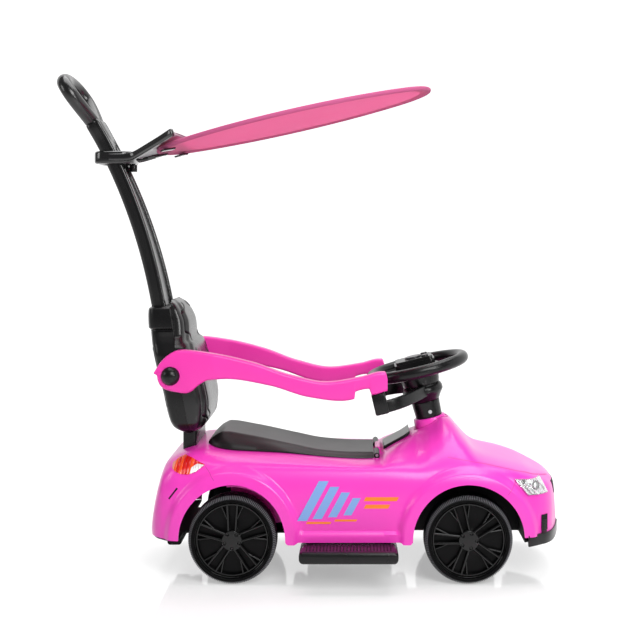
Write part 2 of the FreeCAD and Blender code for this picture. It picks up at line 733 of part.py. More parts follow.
# Seat lid lines
lid_base_line = smooth_line([
    (seat_rear_x, ridge_z - 5), (seat_rear_x + 8, deck_rear_z + 10), (seat_rear_x + 16, deck_rear_z + 4.5),
    (seat_rear_x + 32, deck_rear_z + 1.2), (-38, deck_rear_z - 4.4), (52, deck_front_z + 2.6),
    (97, deck_front_z + 0.6), (seat_front_x, deck_front_z + 1.6)])
lid_top_line = smooth_line([
    (seat_rear_x, ridge_z - 1), (seat_rear_x + 6, deck_rear_z + seat_rear_height - 4),
    (seat_rear_x + 16, deck_rear_z + seat_rear_height),
    (seat_rear_x + 62, deck_rear_z + seat_rear_height - 6.5),
    (-20, deck_rear_z + 0.18 * seat_rear_height), (26, deck_front_z + seat_front_height + 4),
    (74, deck_front_z + seat_front_height + 0.5), (seat_front_x, deck_front_z + seat_front_height)])
lid_width_line = smooth_line([
    (seat_rear_x, seat_half_width - 27), (seat_rear_x + 8, seat_half_width - 16),
    (seat_rear_x + 22, seat_half_width - 6),
    (seat_rear_x + 45, seat_half_width), (40, seat_half_width), (seat_front_x, seat_half_width - 3)])


def lid_form(inset, drop):
    """The seat lid's outer form, drawn in by inset, its underside lowered by drop."""
    count = 41
    rows = []
    for k in range(count):
        station = seat_rear_x + (seat_front_x - seat_rear_x) * k / (count - 1)
        shift = inset * (1 - 2 * k / (count - 1))
        base = lid_base_line(station)
        top = lid_top_line(station) - inset
        wide = lid_width_line(station) - inset
        crest = min(wide - 4, seat_top_half_width - inset)
        half = [(wide, base - drop), (wide, base + 0.35 * (top - base)), (crest + 6, top - 3),
                (crest - 6, top - 1), (0.5 * crest, top)]
        rows.append([V(station + shift, -y, z) for y, z in half] + [V(station + shift, 0, top)]
                    + [V(station + shift, y, z) for y, z in reversed(half)])
    return skin_solid(rows)


def seat_lid():
    """Hollow saddle lid; its front edge is a hinge barrel with a notch for the body's knuckle."""
    radius = hinge_barrel_diameter / 2
    lid = lid_form(0, 0).cut(lid_form(seat_wall, 4 * seat_wall))
    lid = lid.cut(box(hinge_axis.x, FAR, -FAR, FAR, 0, FAR))
    reach = seat_half_width - 6
    lid = lid.fuse(along_y(radius, hinge_axis, -reach, reach))
    notch = box(hinge_axis.x - radius - touch_gap, FAR, -hinge_notch, hinge_notch, 0, FAR)
    bore = along_y(hinge_pin_diameter / 2 + running_clearance, hinge_axis, -FAR, FAR)
    return lid.cut([notch, bore])


def seat_hinge_pin():
    reach = seat_half_width - 10
    return along_y(hinge_pin_diameter / 2, hinge_axis, -reach, reach)


def column_sleeve():
    """Tube that stands on the cowl, with a bored plate at its head."""
    bore = shaft_radius + running_clearance
    profile = [(bore + 4, 0), (sleeve_radius, 0), (sleeve_radius + 1.5, sleeve_height), (bore, sleeve_height),
               (bore, sleeve_height - sleeve_plate),
               (sleeve_radius - sleeve_wall, sleeve_height - sleeve_plate),
               (sleeve_radius - sleeve_wall, 4),
               (bore + 4, 4)]
    sleeve = in_column(turned(profile))
    hole = rod(small_screw_diameter / 2 + seat_clearance,
               V(sleeve_screw_x, -sleeve_radius - sleeve_wall, sleeve_screw_s),
               V(sleeve_screw_x, 0, sleeve_screw_s))
    return sleeve.cut(in_column(hole))


def sleeve_screw():
    def at(depth):
        return V(sleeve_screw_x, -sleeve_radius + depth, sleeve_screw_s)

    shank = rod(small_screw_diameter / 2, at(-1.5), at(2 * sleeve_wall))
    head = rod(sleeve_screw_head / 2, at(-1.2 - screw_head_height), at(-1.2))
    return in_column(shank.fuse(head))


def guard_bracket():
    """Hub round the column with two bands back to the end blocks that carry the guard arms."""
    bore = shaft_radius + 1.5
    hub = turned([(bore, sleeve_height), (sleeve_radius + 2, sleeve_height),
                  (bracket_hub_radius - 3, bracket_band_low),
                  (bracket_hub_radius, (bracket_band_low + bracket_band_high) / 2),
                  (bracket_hub_radius - 4, bracket_hub_top), (bore, bracket_hub_top)])
    pieces = [hub]
    height = bracket_band_high - bracket_band_low
    for side in (1, -1):
        block = box(-block_back, -block_back + block_length, guard_front_y - block_width / 2,
                    guard_front_y + block_width / 2, bracket_band_low, block_top)
        inner = guard_front_y - block_width / 2
        outer = guard_front_y + block_width / 2
        front = -block_back + block_length
        hub = bracket_hub_radius
        plan = [(front - 2, inner), (front - 2, outer), (-0.5 * hub, 1.7 * hub), (0.23 * hub, 0.83 * hub),
                (-0.4 * hub, 0.77 * hub), (-0.97 * hub, 1.34 * hub)]
        outline = [V(x, y, bracket_band_low) for x, y in plan]
        band = Part.Face(Part.makePolygon(outline + outline[:1])).extrude(V(0, 0, height))
        for piece in (block, band):
            pieces.append(piece if side > 0 else mirrored(piece))
    return in_column(pieces[0].fuse(pieces[1:]).removeSplitter())


def steering_wheel():
    """Round rim with three spokes and a hollow boss round the shaft."""
    rim = Part.makeTorus(rim_radius, rim_tube / 2, V(0, 0, wheel_plane))
    low = bracket_hub_top + touch_gap
    bore = shaft_radius + seat_clearance
    boss = turned([(bore, low), (boss_radius - 4, low), (boss_radius, wheel_plane - 8),
                   (boss_radius + 2, pad_low),
                   (boss_radius - boss_wall, pad_low), (boss_radius - boss_wall - 2, low + boss_wall),
                   (bore + 4, low + boss_wall), (bore + 4, pad_low), (bore, pad_low)])
    spokes = []
    for angle in (90, -90, 180):
        spoke = box(boss_radius - 2, rim_radius, -spoke_breadth / 2, spoke_breadth / 2,
                    wheel_plane - spoke_drop - spoke_depth / 2, wheel_plane - spoke_drop + spoke_depth / 2)
        spoke.rotate(V(0, 0, 0), V(0, 0, 1), angle)
        spokes.append(spoke)
    return in_column(boss.fuse([rim] + spokes).removeSplitter())


def button_places():
    """Across, along and diameter of each button: horn, left melody, right melody."""
    forward = melody_forward - pad_back
    return [(0.0, -pad_back, horn_diameter), (melody_y, forward, melody_diameter),
            (-melody_y, forward, melody_diameter)]


def upright_edges(shape):
    return [e for e in shape.Edges if abs(e.tangentAt(e.FirstParameter).z) > 0.9]


def hub_cover():
    """Raised two-tier pad over the boss, hollow, with bores for the horn and melody buttons."""
    tiers = []
    for inset, low, high in ((0, pad_low + touch_gap, pad_top - 5), (pad_step, pad_top - 5, pad_top),
                             (pad_wall, pad_low, pad_top - 3)):
        half_l = pad_length / 2 - inset
        half_w = pad_width / 2 - inset
        tier = box(-pad_back - half_l, -pad_back + half_l, -half_w, half_w, low, high)
        tiers.append(tier.makeFillet(9.0 - inset, upright_edges(tier)))
    pad = tiers[0].fuse(tiers[1]).cut(tiers[2])
    for y, forward, diameter in button_places():
        pad = pad.cut(rod(diameter / 2 + touch_gap, V(forward, y, pad_low), V(forward, y, pad_top + 5)))
    return in_column(pad)


def button(place):
    y, forward, diameter = place
    cap = rod(diameter / 2, V(forward, y, pad_top - 2 * button_travel), V(forward, y, pad_top + button_proud))
    cap = cap.makeFillet(1.2, [e for e in cap.Edges if abs(e.CenterOfMass.z - pad_top - button_proud) < 0.01])
    flange = rod(diameter / 2 + 1.2, V(forward, y, pad_top - 2 * button_travel - 1.6),
                 V(forward, y, pad_top - 3 - touch_gap))
    return in_column(cap.fuse(flange))


def sound_module():
    """Speaker and battery box inside the boss, under the buttons."""
    low = bracket_hub_top + touch_gap + boss_wall
    bore = shaft_radius + seat_clearance + 4
    module = turned([(bore, low), (boss_radius - boss_wall - 3, low),
                     (boss_radius - boss_wall - 3, pad_low - 4),
                     (bore, pad_low - 4)])
    return in_column(module)


def steering_shaft():
    """Steel rod down to a crank whose pin drives the tie rod."""
    shaft = rod(shaft_radius, V(0, 0, -crank_drop - crank_thickness / 2), V(0, 0, pad_low - 2))
    arm = box(-crank_reach, 0, -shaft_radius, shaft_radius, -crank_drop - crank_thickness / 2,
              -crank_drop + crank_thickness / 2)
    end = rod(shaft_radius, V(-crank_reach, 0, -crank_drop - crank_thickness / 2),
              V(-crank_reach, 0, -crank_drop + crank_thickness / 2))
    pin = rod(link_pin_diameter / 2, V(-crank_reach, 0, -crank_drop),
              V(-crank_reach, 0, -crank_drop - crank_pin_length))
    return in_column(shaft.fuse([arm, end, pin]).removeSplitter())


crank_pin_x = (column_x - crank_reach * math.cos(math.radians(column_lean))
               + (crank_drop + 10) * math.sin(math.radians(column_lean)))


def tie_rod():
    """Flat bar across the car with a slot for each link pin."""
    bar = box(link_x - tie_rod_width / 2, link_x + tie_rod_width / 2 + arm_slot, -kingpin_y - tie_rod_end,
              kingpin_y + tie_rod_end,
              tie_rod_z, tie_rod_z + tie_rod_thickness)
    half = link_pin_diameter / 2 + touch_gap
    slots = [box(link_x - half, link_x + half + arm_slot, side * kingpin_y - half, side * kingpin_y + half,
                 0, FAR)
             for side in (1, -1)]
    slots.append(box(crank_pin_x - half - 1.5, crank_pin_x + half + crank_slot, -half, half, 0, FAR))
    return bar.cut(slots)


def knuckle():
    """Left steering knuckle: kingpin, stub axle and steering arm with its link pin."""
    low = kingpin_low_z
    high = kingpin_high_z + kingpin_plate
    pin = rod(kingpin_diameter / 2, V(front_axle_x, kingpin_y, low), V(front_axle_x, kingpin_y, high))
    block = box(front_axle_x - knuckle_half_length, front_axle_x + knuckle_half_length,
                kingpin_y - knuckle_inner, wheel_inner_y - knuckle_gap, low + kingpin_plate + touch_gap,
                kingpin_high_z - touch_gap)
    stub = rod(axle_radius, V(front_axle_x, kingpin_y, axle_z), V(front_axle_x, stub_end_y, axle_z))
    arm = box(link_x, front_axle_x, kingpin_y - knuckle_arm_width / 2, kingpin_y + knuckle_arm_width / 2,
              knuckle_arm_z, knuckle_arm_z + knuckle_arm_thickness)
    arm_end = rod(knuckle_arm_width / 2, V(link_x, kingpin_y, knuckle_arm_z),
                  V(link_x, kingpin_y, knuckle_arm_z + knuckle_arm_thickness))
    link = rod(link_pin_diameter / 2, V(link_x, kingpin_y, link_pin_low_z),
               V(link_x, kingpin_y, knuckle_arm_z))
    head = rod(link_pin_diameter / 2 + link_head_rim, V(link_x, kingpin_y, link_pin_low_z),
               V(link_x, kingpin_y, tie_rod_z - touch_gap))
    return block.fuse([pin, stub, arm, arm_end, link, head]).removeSplitter()


def wheel(axle_x):
    """Left wheel: tread, lip, disc and hub turned in one, bored for the axle."""
    profile = [(axle_radius + running_clearance, wheel_inner_y + 2), (hub_diameter / 2, wheel_inner_y + 2),
               (hub_diameter / 2, disc_y - wheel_disc), (wheel_radius - 7, disc_y - wheel_disc),
               (wheel_radius - 7, wheel_inner_y), (wheel_radius - tyre_edge, wheel_inner_y),
               (wheel_radius, wheel_inner_y + tyre_edge), (wheel_radius, wheel_outer_y - tyre_edge),
               (wheel_radius - tyre_edge, wheel_outer_y), (recess_radius, wheel_outer_y),
               (recess_radius, disc_y),
               (hub_diameter / 2, disc_y), (hub_diameter / 2, hub_face_y),
               (axle_radius + running_clearance, hub_face_y)]
    points = [V(axle_x + r, y, axle_z) for r, y in profile]
    face = Part.Face(Part.makePolygon(points + points[:1]))
    return face.revolve(V(axle_x, 0, axle_z), Y_AXIS, 360)


def wheel_cover(axle_x, turn):
    """Left spoked cover: ring, twin spokes and a hub cap with lug bolts, set in the wheel's recess."""
    ring_radius = recess_radius - seat_clearance
    face_y = disc_y + cover_thickness
    cap_y = wheel_outer_y
    hub_outer = hub_diameter / 2 + seat_clearance + 2
    centre = V(axle_x, 0, axle_z)
    ring = along_y(ring_radius, centre, disc_y, face_y).cut(
        along_y(ring_radius - cover_ring_width, centre, disc_y - 1, face_y + 1))
    cap = along_y(hub_outer, centre, disc_y, cap_y)
    cap = cap.cut(along_y(hub_diameter / 2 + seat_clearance, centre, disc_y - 1, cap_y - 2.5))
    pieces = [cap]
    for k in range(spoke_pairs):
        for side in (1, -1):
            inner = hub_outer - 1.5
            outer = ring_radius - cover_ring_width / 2
            fork_end = ring_radius - cover_ring_width * 5 / 6
            for low, high, near, far, width, height in (
                    (inner, outer, spoke_spread_hub, spoke_spread_rim, spoke_width, cover_thickness - 1),
                    (fork_start, fork_end, spoke_spread_hub, fork_spread, fork_width, cover_thickness - 2)):
                half = width / 2
                outline = [V(side * near - half, disc_y, low), V(side * near + half, disc_y, low),
                           V(side * far + half, disc_y, high), V(side * far - half, disc_y, high)]
                spoke = Part.Face(Part.makePolygon(outline + outline[:1])).extrude(V(0, height, 0))
                spoke.rotate(V(0, 0, 0), Y_AXIS, turn + 360 * k / spoke_pairs)
                spoke.translate(centre)
                pieces.append(spoke)
        angle = math.radians(turn + 360 * (k + 0.5) / spoke_pairs)
        lug = V(axle_x + lug_circle / 2 * math.sin(angle), 0, axle_z + lug_circle / 2 * math.cos(angle))
        pieces.append(along_y(lug_diameter / 2, lug, cap_y - 1, cap_y + 0.8))
    return ring.fuse(pieces).removeSplitter()


def push_nut(axle_x):
    centre = V(axle_x, 0, axle_z)
    nut = along_y(push_nut_diameter / 2, centre, hub_face_y + touch_gap, hub_face_y + push_nut_thickness)
    return nut.cut(along_y(axle_radius + 0.05, centre, 0, FAR))


def rear_axle():
    return along_y(axle_radius, rear_axle_centre, -stub_end_y, stub_end_y)


def tongue_places():
    return (footrest_rear_x + tongue_inset, footrest_front_x - tongue_inset)


def footrest():
    """Left step tray: a hollow tread, stepped down under the sill, with two tongues for the floor straps."""
    low = footrest_top_z - footrest_height
    tray = box(footrest_rear_x, footrest_front_x, footrest_inner_y, footrest_outer_y, low, footrest_top_z)
    outer_edges = [e for e in tray.Edges if abs(e.CenterOfMass.y - footrest_outer_y) < 0.01]
    tray = tray.makeFillet(footrest_rounding, outer_edges)
    tray = tray.cut(box(footrest_rear_x + footrest_wall, footrest_front_x - footrest_wall,
                        footrest_inner_y + footrest_wall,
                        footrest_outer_y - 2 * footrest_wall, low - 1, footrest_top_z - footrest_wall))
    tongues = [box(x - tongue_width / 2, x + tongue_width / 2, strap_inner_y - tongue_overlap,
                   footrest_inner_y + footrest_wall,
                   tongue_low_z, footrest_top_z) for x in tongue_places()]
    step = box(-FAR, FAR, 0, footrest_tread_y, footrest_top_z - footrest_step, FAR)
    return tray.fuse(tongues).cut(step).removeSplitter()


def anti_tip_bracket():
    """Two straps down from the floor pan to a foot bar behind the rear wheels."""
    foot_x = body_rear_x + tip_foot_inset
    half = tip_foot_length / 2
    foot = box(foot_x - half, foot_x + half, -tip_foot_half_width, tip_foot_half_width, tip_foot_z,
               tip_foot_z + half)
    foot = foot.makeFillet(0.4 * half, [e for e in foot.Edges if abs(e.tangentAt(e.FirstParameter).y) > 0.9])
    straps = []
    for side in (1, -1):
        low = tip_foot_z + 0.7 * half
        outline = [(foot_x - half / 2, low), (foot_x + half / 2, low),
                   (foot_x + half + tip_strap_lean, floor_low_z),
                   (foot_x + tip_strap_lean - half / 4, floor_low_z)]
        straps.append(side_prism(outline, side * tip_strap_y - tip_strap_width / 2,
                                 side * tip_strap_y + tip_strap_width / 2))
    return foot.fuse(straps).removeSplitter()


# Backrest lines over height
back_rear_line = smooth_line([(backrest_low_z, -202), (backrest_low_z + 14, -220), (310, -235), (384, -254),
                              (shoulder_top_z, -265), (backrest_top_z - 20, -270), (backrest_top_z - 5, -269),
                              (backrest_top_z, -264)])
back_front_line = smooth_line([(backrest_low_z, -184), (backrest_low_z + 10, -168),
                               (backrest_low_z + 24, -160),
                               (284, -156), (310, -162), (340, -174), (369, -187), (shoulder_top_z - 8, -195),
                               (shoulder_top_z + 14, -199), (backrest_top_z - 18, -207),
                               (backrest_top_z - 6, -217),
                               (backrest_top_z, -229)])
back_width_line = smooth_line([(backrest_low_z, backrest_half_width - 30),
                               (backrest_low_z + 10, backrest_half_width - 12),
                               (backrest_low_z + 24, backrest_half_width - 3), (300, backrest_half_width),
                               (shoulder_top_z - 25, backrest_half_width),
                               (shoulder_top_z - 8, backrest_half_width - 8),
                               (shoulder_top_z + 4, head_half_width + 14),
                               (shoulder_top_z + 16, head_half_width + 2),
                               (backrest_top_z - 18, head_half_width),
                               (backrest_top_z - 6, head_half_width - 6),
                               (backrest_top_z, head_half_width - 20)])
seam_line = smooth_line([(backrest_low_z, seam_low_x), (backrest_top_z, seam_high_x)])


@functools.lru_cache(maxsize=None)
def backrest_half(surface_line, bulge, inset):
    """One half shell's form: from the parting plane out to a front or rear line."""
    count = 33
    rows = []
    for k in range(count):
        height = backrest_low_z + (backrest_top_z - backrest_low_z) * k / (count - 1)
        z = height + inset * (1 - 2 * k / (count - 1))
        seam = seam_line(height)
        face = surface_line(height)
        out = math.copysign(1, face - seam)
        face -= out * inset
        wide = back_width_line(height) - inset
        crown = face + out * bulge
        half = [(seam, wide), (0.6 * seam + 0.4 * face, wide + 1), (face - out * 1, wide - 3),
                (face, wide - 16),
                (crown, 0.45 * wide), (crown, 0.2 * wide)]
        rows.append([V(x, -y, z) for x, y in half] + [V(crown, 0, z)] + [V(x, y, z) for x,
            y in reversed(half)])
    return skin_solid(rows)


def back_screw_places():
    return [(side * back_screw_y, z) for side in (1, -1) for z in (back_screw_low_z, back_screw_high_z)]


def along_x(radius, x0, x1, y, z):
    return rod(radius, V(x0, y, z), V(x1, y, z))


def backrest_shells():
    """Rear and front clam shells, with the post, the pivot bosses, screw posts and the handle's socket."""
    rear_form = backrest_half(back_rear_line, 0.0, 0.0)
    front_form = backrest_half(back_front_line, back_bulge, 0.0)
    rear_room = backrest_half(back_rear_line, 0.0, backrest_wall)
    front_room = backrest_half(back_front_line, back_bulge, backrest_wall)
    pillars = [along_x(screw_post_diameter / 2, -FAR, FAR, y, z) for y, z in back_screw_places()]
    boss = along_y(pivot_boss_diameter / 2, guard_pivot, backrest_half_width - 8, guard_inner_y - touch_gap)
    pin_hole = along_y(pivot_pin_diameter / 2 + seat_clearance, guard_pivot, -FAR, FAR)
    boss_room = along_y(pivot_boss_diameter / 2 + touch_gap, guard_pivot, backrest_half_width - 9, FAR)
    screw_holes = [along_x(small_screw_diameter / 2 + seat_clearance, -FAR, seam_line(z) + 15, y, z)
                   for y, z in back_screw_places()]
    screw_holes += [along_x(small_screw_diameter / 2 + seat_clearance, -FAR, handle_foot_x,
                            side * handle_screw_y,
                            handle_screw_z) for side in (1, -1)]
    post = post_block(0, post_foot_z).cut([front_form, rear_room])
    rear = rear_form.cut(rear_room.cut(pillars))
    rear = rear.fuse([post, boss.cut(rear_room), mirrored(boss.cut(rear_room))])
    rear = rear.cut([pin_hole, handle_form(2 * touch_gap)] + screw_holes)
    front = front_form.cut(front_room.cut(pillars))
    front = front.cut([post_block(touch_gap, post_foot_z), boss_room, mirrored(boss_room)] + screw_holes)
    return rear, front


def rear_screws(places, shank_end):
    """Screws driven in from behind the backrest, heads just off its rear face."""
    screws = []
    for y, z in places:
        face = back_rear_line(z) - 1.4
        head = along_x(small_screw_head / 2, face - screw_head_height, face, y, z)
        shank = along_x(small_screw_diameter / 2, face - 1, shank_end(z), y, z)
        screws.append(head.fuse(shank))
    return Part.makeCompound(screws)


def backrest_screws():
    return rear_screws(back_screw_places(), lambda z: seam_line(z) + 13)


def handle_screws():
    places = [(side * handle_screw_y, handle_screw_z) for side in (1, -1)]
    return rear_screws(places, lambda z: handle_foot_x)


def guard_outline():
    """Side view of a guard arm as edges: waved top, front end, notched underside, round rear."""
    px, pz = guard_pivot_x, guard_pivot_z
    fx = guard_front_x
    top = [(px - 28, pz + 4), (px - 5, pz + 34), (px + 14, pz + 41.5), (px + 66, pz + 36.5),
           (px + 132, pz + 21.5),
           (px + 197, pz - 1), (px + 255, pz - 12.5), (fx - 42, pz - 5), (fx - 6, pz + 4)]
    under = [(fx - 52, pz - 41), (fx - 74, pz - 44), (fx - 128, pz - 37), (px + 161, pz - 17),
             (px + 90, pz - 5.5),
             (px + 62, pz - 7), (px + 30, pz - 27)]
    rear = [(px + 30, pz - 27), (px + 3, pz - 28.5), (px - 20, pz - 14), (px - 28, pz + 4)]
    front = [(fx - 6, pz + 4), (fx, pz - 1), (fx + 3, pz - 40), (fx - 23, pz - 40), (fx - 28, pz - 24.5),
             (fx - 52, pz - 29), (fx - 52, pz - 41)]
    return top, front, under, rear


def guard_arm():
    """Left guard arm: straight beside the backrest, then drawn in towards the column."""
    top, front, under, rear = guard_outline()
    draw_in = (guard_rear_y - guard_front_y) / (guard_front_x - guard_bend_x)
    halves = []
    for slope, x0, x1 in ((0.0, -FAR, guard_bend_x), (draw_in, guard_bend_x, FAR)):
        def place(point):
            x, z = point
            return V(x, guard_inner_y - slope * (x - guard_bend_x), z)
        edges = []
        for curve in (top, under, rear):
            spline = Part.BSplineCurve()
            spline.interpolate([place(p) for p in curve])
            edges.append(spline.toShape())
        for a, b in zip(front, front[1:]):
            edges.append(Part.makeLine(place(a), place(b)))
        wire = Part.Wire(Part.__sortEdges__(edges))
        solid = Part.Face(wire).extrude(V(0, guard_thickness, 0))
        halves.append(solid.common(box(x0, x1, 0, FAR, 0, FAR)))
    arm = halves[0].fuse(halves[1]).removeSplitter()
    rest = box(-block_back - 20, -block_back + block_length + 20, 0, FAR, -FAR, block_top + touch_gap)
    bore = along_y(pivot_pin_diameter / 2 + running_clearance, guard_pivot, 0, FAR)
    return arm.cut([bore, in_column(rest)])


def guard_pin():
    """Left pivot pin, from inside the backrest out to the knob."""
    return along_y(pivot_pin_diameter / 2, guard_pivot, backrest_half_width - 12,
                   guard_inner_y + guard_thickness + touch_gap)


def guard_knob():
    """Left round knob: a domed cap on the end of the pivot pin."""
    face_y = guard_inner_y + guard_thickness + touch_gap
    radius = knob_diameter / 2
    ball = (radius * radius + knob_height * knob_height) / (2 * knob_height)
    centre = V(guard_pivot_x, face_y + knob_height - ball, guard_pivot_z)
    return Part.makeSphere(ball, centre).common(
        along_y(radius, guard_pivot, face_y, face_y + knob_height))


def handle_point(s):
    """Centre line of the push handle at distance s along its bend, with its lean there."""
    lean0 = math.radians(handle_lean)
    lean = lean0 + max(s, 0) / handle_radius
    x = handle_foot_x + handle_radius * (math.cos(lean) - math.cos(lean0)) - min(s, 0) * math.sin(lean0)
    z = handle_foot_z + handle_radius * (math.sin(lean) - math.sin(lean0)) + min(s, 0) * math.cos(lean0)
    return V(x, 0, z), lean


handle_width_line = smooth_line([(-handle_plug, handle_foot_width + 2), (0, handle_foot_width),
                                 (0.45 * neck_station, handle_foot_width - 14),
                                 (neck_station, handle_neck_width),
                                 (neck_station + 28, handle_neck_width + 6),
                                 (neck_station + 55, grip_width - 34),
                                 (grip_station - 8, grip_width - 5), (grip_station + 12, grip_width),
                                 (handle_length - 20, grip_width - 10), (handle_length - 9, grip_width - 32),
                                 (handle_length - 3, grip_width - 64), (handle_length, grip_width - 96)])
handle_depth_line = smooth_line([(-handle_plug, handle_thickness), (neck_station, handle_thickness - 1),
                                 (grip_station, grip_tube), (handle_length - 10, grip_tube - 1),
                                 (handle_length - 3, grip_tube - 6), (handle_length, grip_tube - 13)])


def rounded_slab(centre, lean, width, depth):
    """A rounded rectangle across the car, square to the handle's centre line."""
    corner = 0.44 * depth
    across = V(0, 1, 0)
    ahead = V(math.cos(lean), 0, math.sin(lean))
    w, d = width / 2, depth / 2
    edges = []
    for k, (sy, sd) in enumerate(((1, 1), (-1, 1), (-1, -1), (1, -1))):
        middle = centre + across * (sy * (w - corner)) + ahead * (sd * (d - corner))
        first, second = (across * sy, ahead * sd) if k % 2 == 0 else (ahead * sd, across * sy)
        mid = (first + second) * (corner / math.sqrt(2))
        edges.append(Part.Arc(middle + first * corner, middle + mid, middle + second * corner).toShape())
    lines = []
    for k in range(4):
        lines.append(edges[k])
        lines.append(Part.makeLine(edges[k].Vertexes[-1].Point, edges[(k + 1) % 4].Vertexes[0].Point))
    return Part.Wire(lines)


@functools.lru_cache(maxsize=None)
def handle_form(grow):
    """The push handle's outer form: rounded slabs carried along the bend."""
    steps = 13
    stations = [-handle_plug - grow + (neck_station + handle_plug) * k / steps for k in range(steps + 1)]
    stations += [neck_station + 28, neck_station + 55, grip_station, grip_station + 14, handle_length - 22,
                 handle_length - 10, handle_length - 4, handle_length]
    wires = []
    for s in stations:
        centre, lean = handle_point(s)
        wires.append(rounded_slab(centre, lean, handle_width_line(s) + 2 * grow,
                                  handle_depth_line(s) + 2 * grow))
    return Part.makeLoft(wires, True, False)


def push_handle():
    """Blade with a teardrop loop grip at its top."""
    low, high = neck_station + 42, handle_length - grip_tube
    centre, lean = handle_point((low + high) / 2)
    up = V(-math.sin(lean), 0, math.cos(lean))
    ahead = V(math.cos(lean), 0, math.sin(lean))
    half = (high - low) / 2
    inner = grip_width / 2 - grip_tube + 2
    outline = [(0, -half), (0.42 * inner, -0.55 * half), (inner, 0.25 * half), (0.8 * inner, 0.8 * half),
               (0, half)]
    outline += [(-y, u) for y, u in reversed(outline[1:-1])]
    points = [centre + V(0, y, 0) + up * u - ahead * 60 for y, u in outline]
    spline = Part.BSplineCurve()
    spline.interpolate(points, True)
    hole = Part.Face(Part.Wire(spline.toShape())).extrude(ahead * 120)
    screw_holes = [along_x(small_screw_diameter / 2 + seat_clearance, -FAR, handle_foot_x + 1,
                           side * handle_screw_y,
                           handle_screw_z) for side in (1, -1)]
    return handle_form(0).cut([hole] + screw_holes)


# Canopy
canopy_frame = FreeCAD.Placement(V(canopy_rear_x, 0, canopy_rear_z),
                                 FreeCAD.Rotation(V(0, 1, 0), -canopy_tilt))


def canopy_path(inset):
    """Oval of four tangent arcs, its rear end at the origin, drawn in by inset."""
    a = canopy_length / 2
    b = canopy_width / 2
    r1 = canopy_end_radius
    r2 = ((a - r1) ** 2 + b ** 2 - r1 ** 2) / (2 * (b - r1))
    end_angle = math.atan2(r2 - b, a - r1)
    join = V((a - r1) + (r1 - inset) * math.cos(end_angle), (r1 - inset) * math.sin(end_angle), 0)
    middle = V(a, 0, 0)

    def at(x, y):
        return V(x, y, 0) + middle

    corners = [at(join.x, join.y), at(-join.x, join.y), at(-join.x, -join.y), at(join.x, -join.y)]
    mids = [at(0, b - inset), at(-a + inset, 0), at(0, -b + inset), at(a - inset, 0)]
    edges = [Part.Arc(corners[k], mids[k], corners[(k + 1) % 4]).toShape() for k in range(4)]
    return Part.Wire(edges)


def canopy_ring(radius):
    """A round tube along the canopy's rim."""
    path = canopy_path(hem_diameter / 2)
    start = path.Edges[0].valueAt(path.Edges[0].FirstParameter)
    tangent = path.Edges[0].tangentAt(path.Edges[0].FirstParameter)
    circle = Part.Wire(Part.makeCircle(radius, start, tangent))
    return path.makePipeShell([circle], True, False)


def in_canopy(shape):
    placed = shape.copy()
    placed.Placement = canopy_frame.multiply(placed.Placement)
    return placed


def canopy_fabric():
    """Stretched cloth with a hollow hem for the wire."""
    cloth = Part.Face(canopy_path(hem_diameter / 2)).extrude(V(0, 0, cloth_thickness))
    cloth.translate(V(0, 0, -cloth_thickness / 2))
    hem = canopy_ring(hem_diameter / 2)
    return in_canopy(cloth.fuse(hem).cut(canopy_ring(wire_diameter / 2 + seat_clearance)))


def canopy_wire():
    return in_canopy(canopy_ring(wire_diameter / 2))


def canopy_bracket():
    """Clamp ring on the handle, fan plate with side rims, and clips that hold the hem."""
    clamp = box(clamp_rear_x, clamp_front_x, -clamp_half_width, clamp_half_width, clamp_low_z,
                clamp_low_z + clamp_height)
    clamp = clamp.makeFillet(clamp_corner, upright_edges(clamp)).cut(handle_form(touch_gap))
    root_x = clamp_front_x - clamp_corner / 2
    slope = fan_rise / (fan_front_x - clamp_front_x)

    def under(x):
        return fan_low_z + slope * (x - clamp_front_x)

    def layer(low, high):
        return side_prism([(root_x, under(root_x) + low), (fan_front_x, under(fan_front_x) + low),
                           (fan_front_x, under(fan_front_x) + high), (root_x, under(root_x) + high)], -FAR,
                           FAR)

    spread = (fan_front_half_width - fan_rear_half_width) / (fan_front_x - clamp_front_x)

    def half_width(x):
        return fan_rear_half_width + spread * (x - clamp_front_x)

    def plan(inset):
        xs = (root_x, fan_front_x)
        points = [V(x, -half_width(x) + inset, 0) for x in xs]
        points += [V(x, half_width(x) - inset, 0) for x in reversed(xs)]
        return Part.Face(Part.makePolygon(points + points[:1])).extrude(V(0, 0, FAR))

    plate = plan(0).common(layer(0, fan_thickness))
    rims = plan(0).cut(plan(fan_rim_width)).common(layer(-fan_rim_depth, fan_thickness + fan_rim_height))
    above = layer(fan_thickness / 2, FAR)
    hem_room = canopy_room()
    clips = []
    for turn in (-saddle_turn, 0, saddle_turn):
        clip = box(-saddle_wall, hem_diameter, -saddle_half_width, saddle_half_width,
                   -hem_diameter / 2 - saddle_wall, hem_diameter * 3)
        clip.rotate(V(canopy_end_radius, 0, 0), V(0, 0, 1), turn)
        clips.append(in_canopy(clip).cut([above, hem_room]))
    bracket = plate.fuse([clamp, rims] + clips)
    shank = rod(clamp_screw_diameter / 2 + seat_clearance, V(clamp_knob_x, 0, 0),
                V(clamp_knob_x, 0, clamp_low_z + clamp_screw_reach + 1))
    return bracket.cut(shank)


def canopy_room():
    """The space of the hem and cloth, with clearance."""
    cloth = Part.Face(canopy_path(hem_diameter / 2)).extrude(V(0, 0, cloth_thickness + 2 * touch_gap))
    cloth.translate(V(0, 0, -cloth_thickness / 2 - touch_gap))
    return in_canopy(cloth.fuse(canopy_ring(hem_diameter / 2 + touch_gap)))


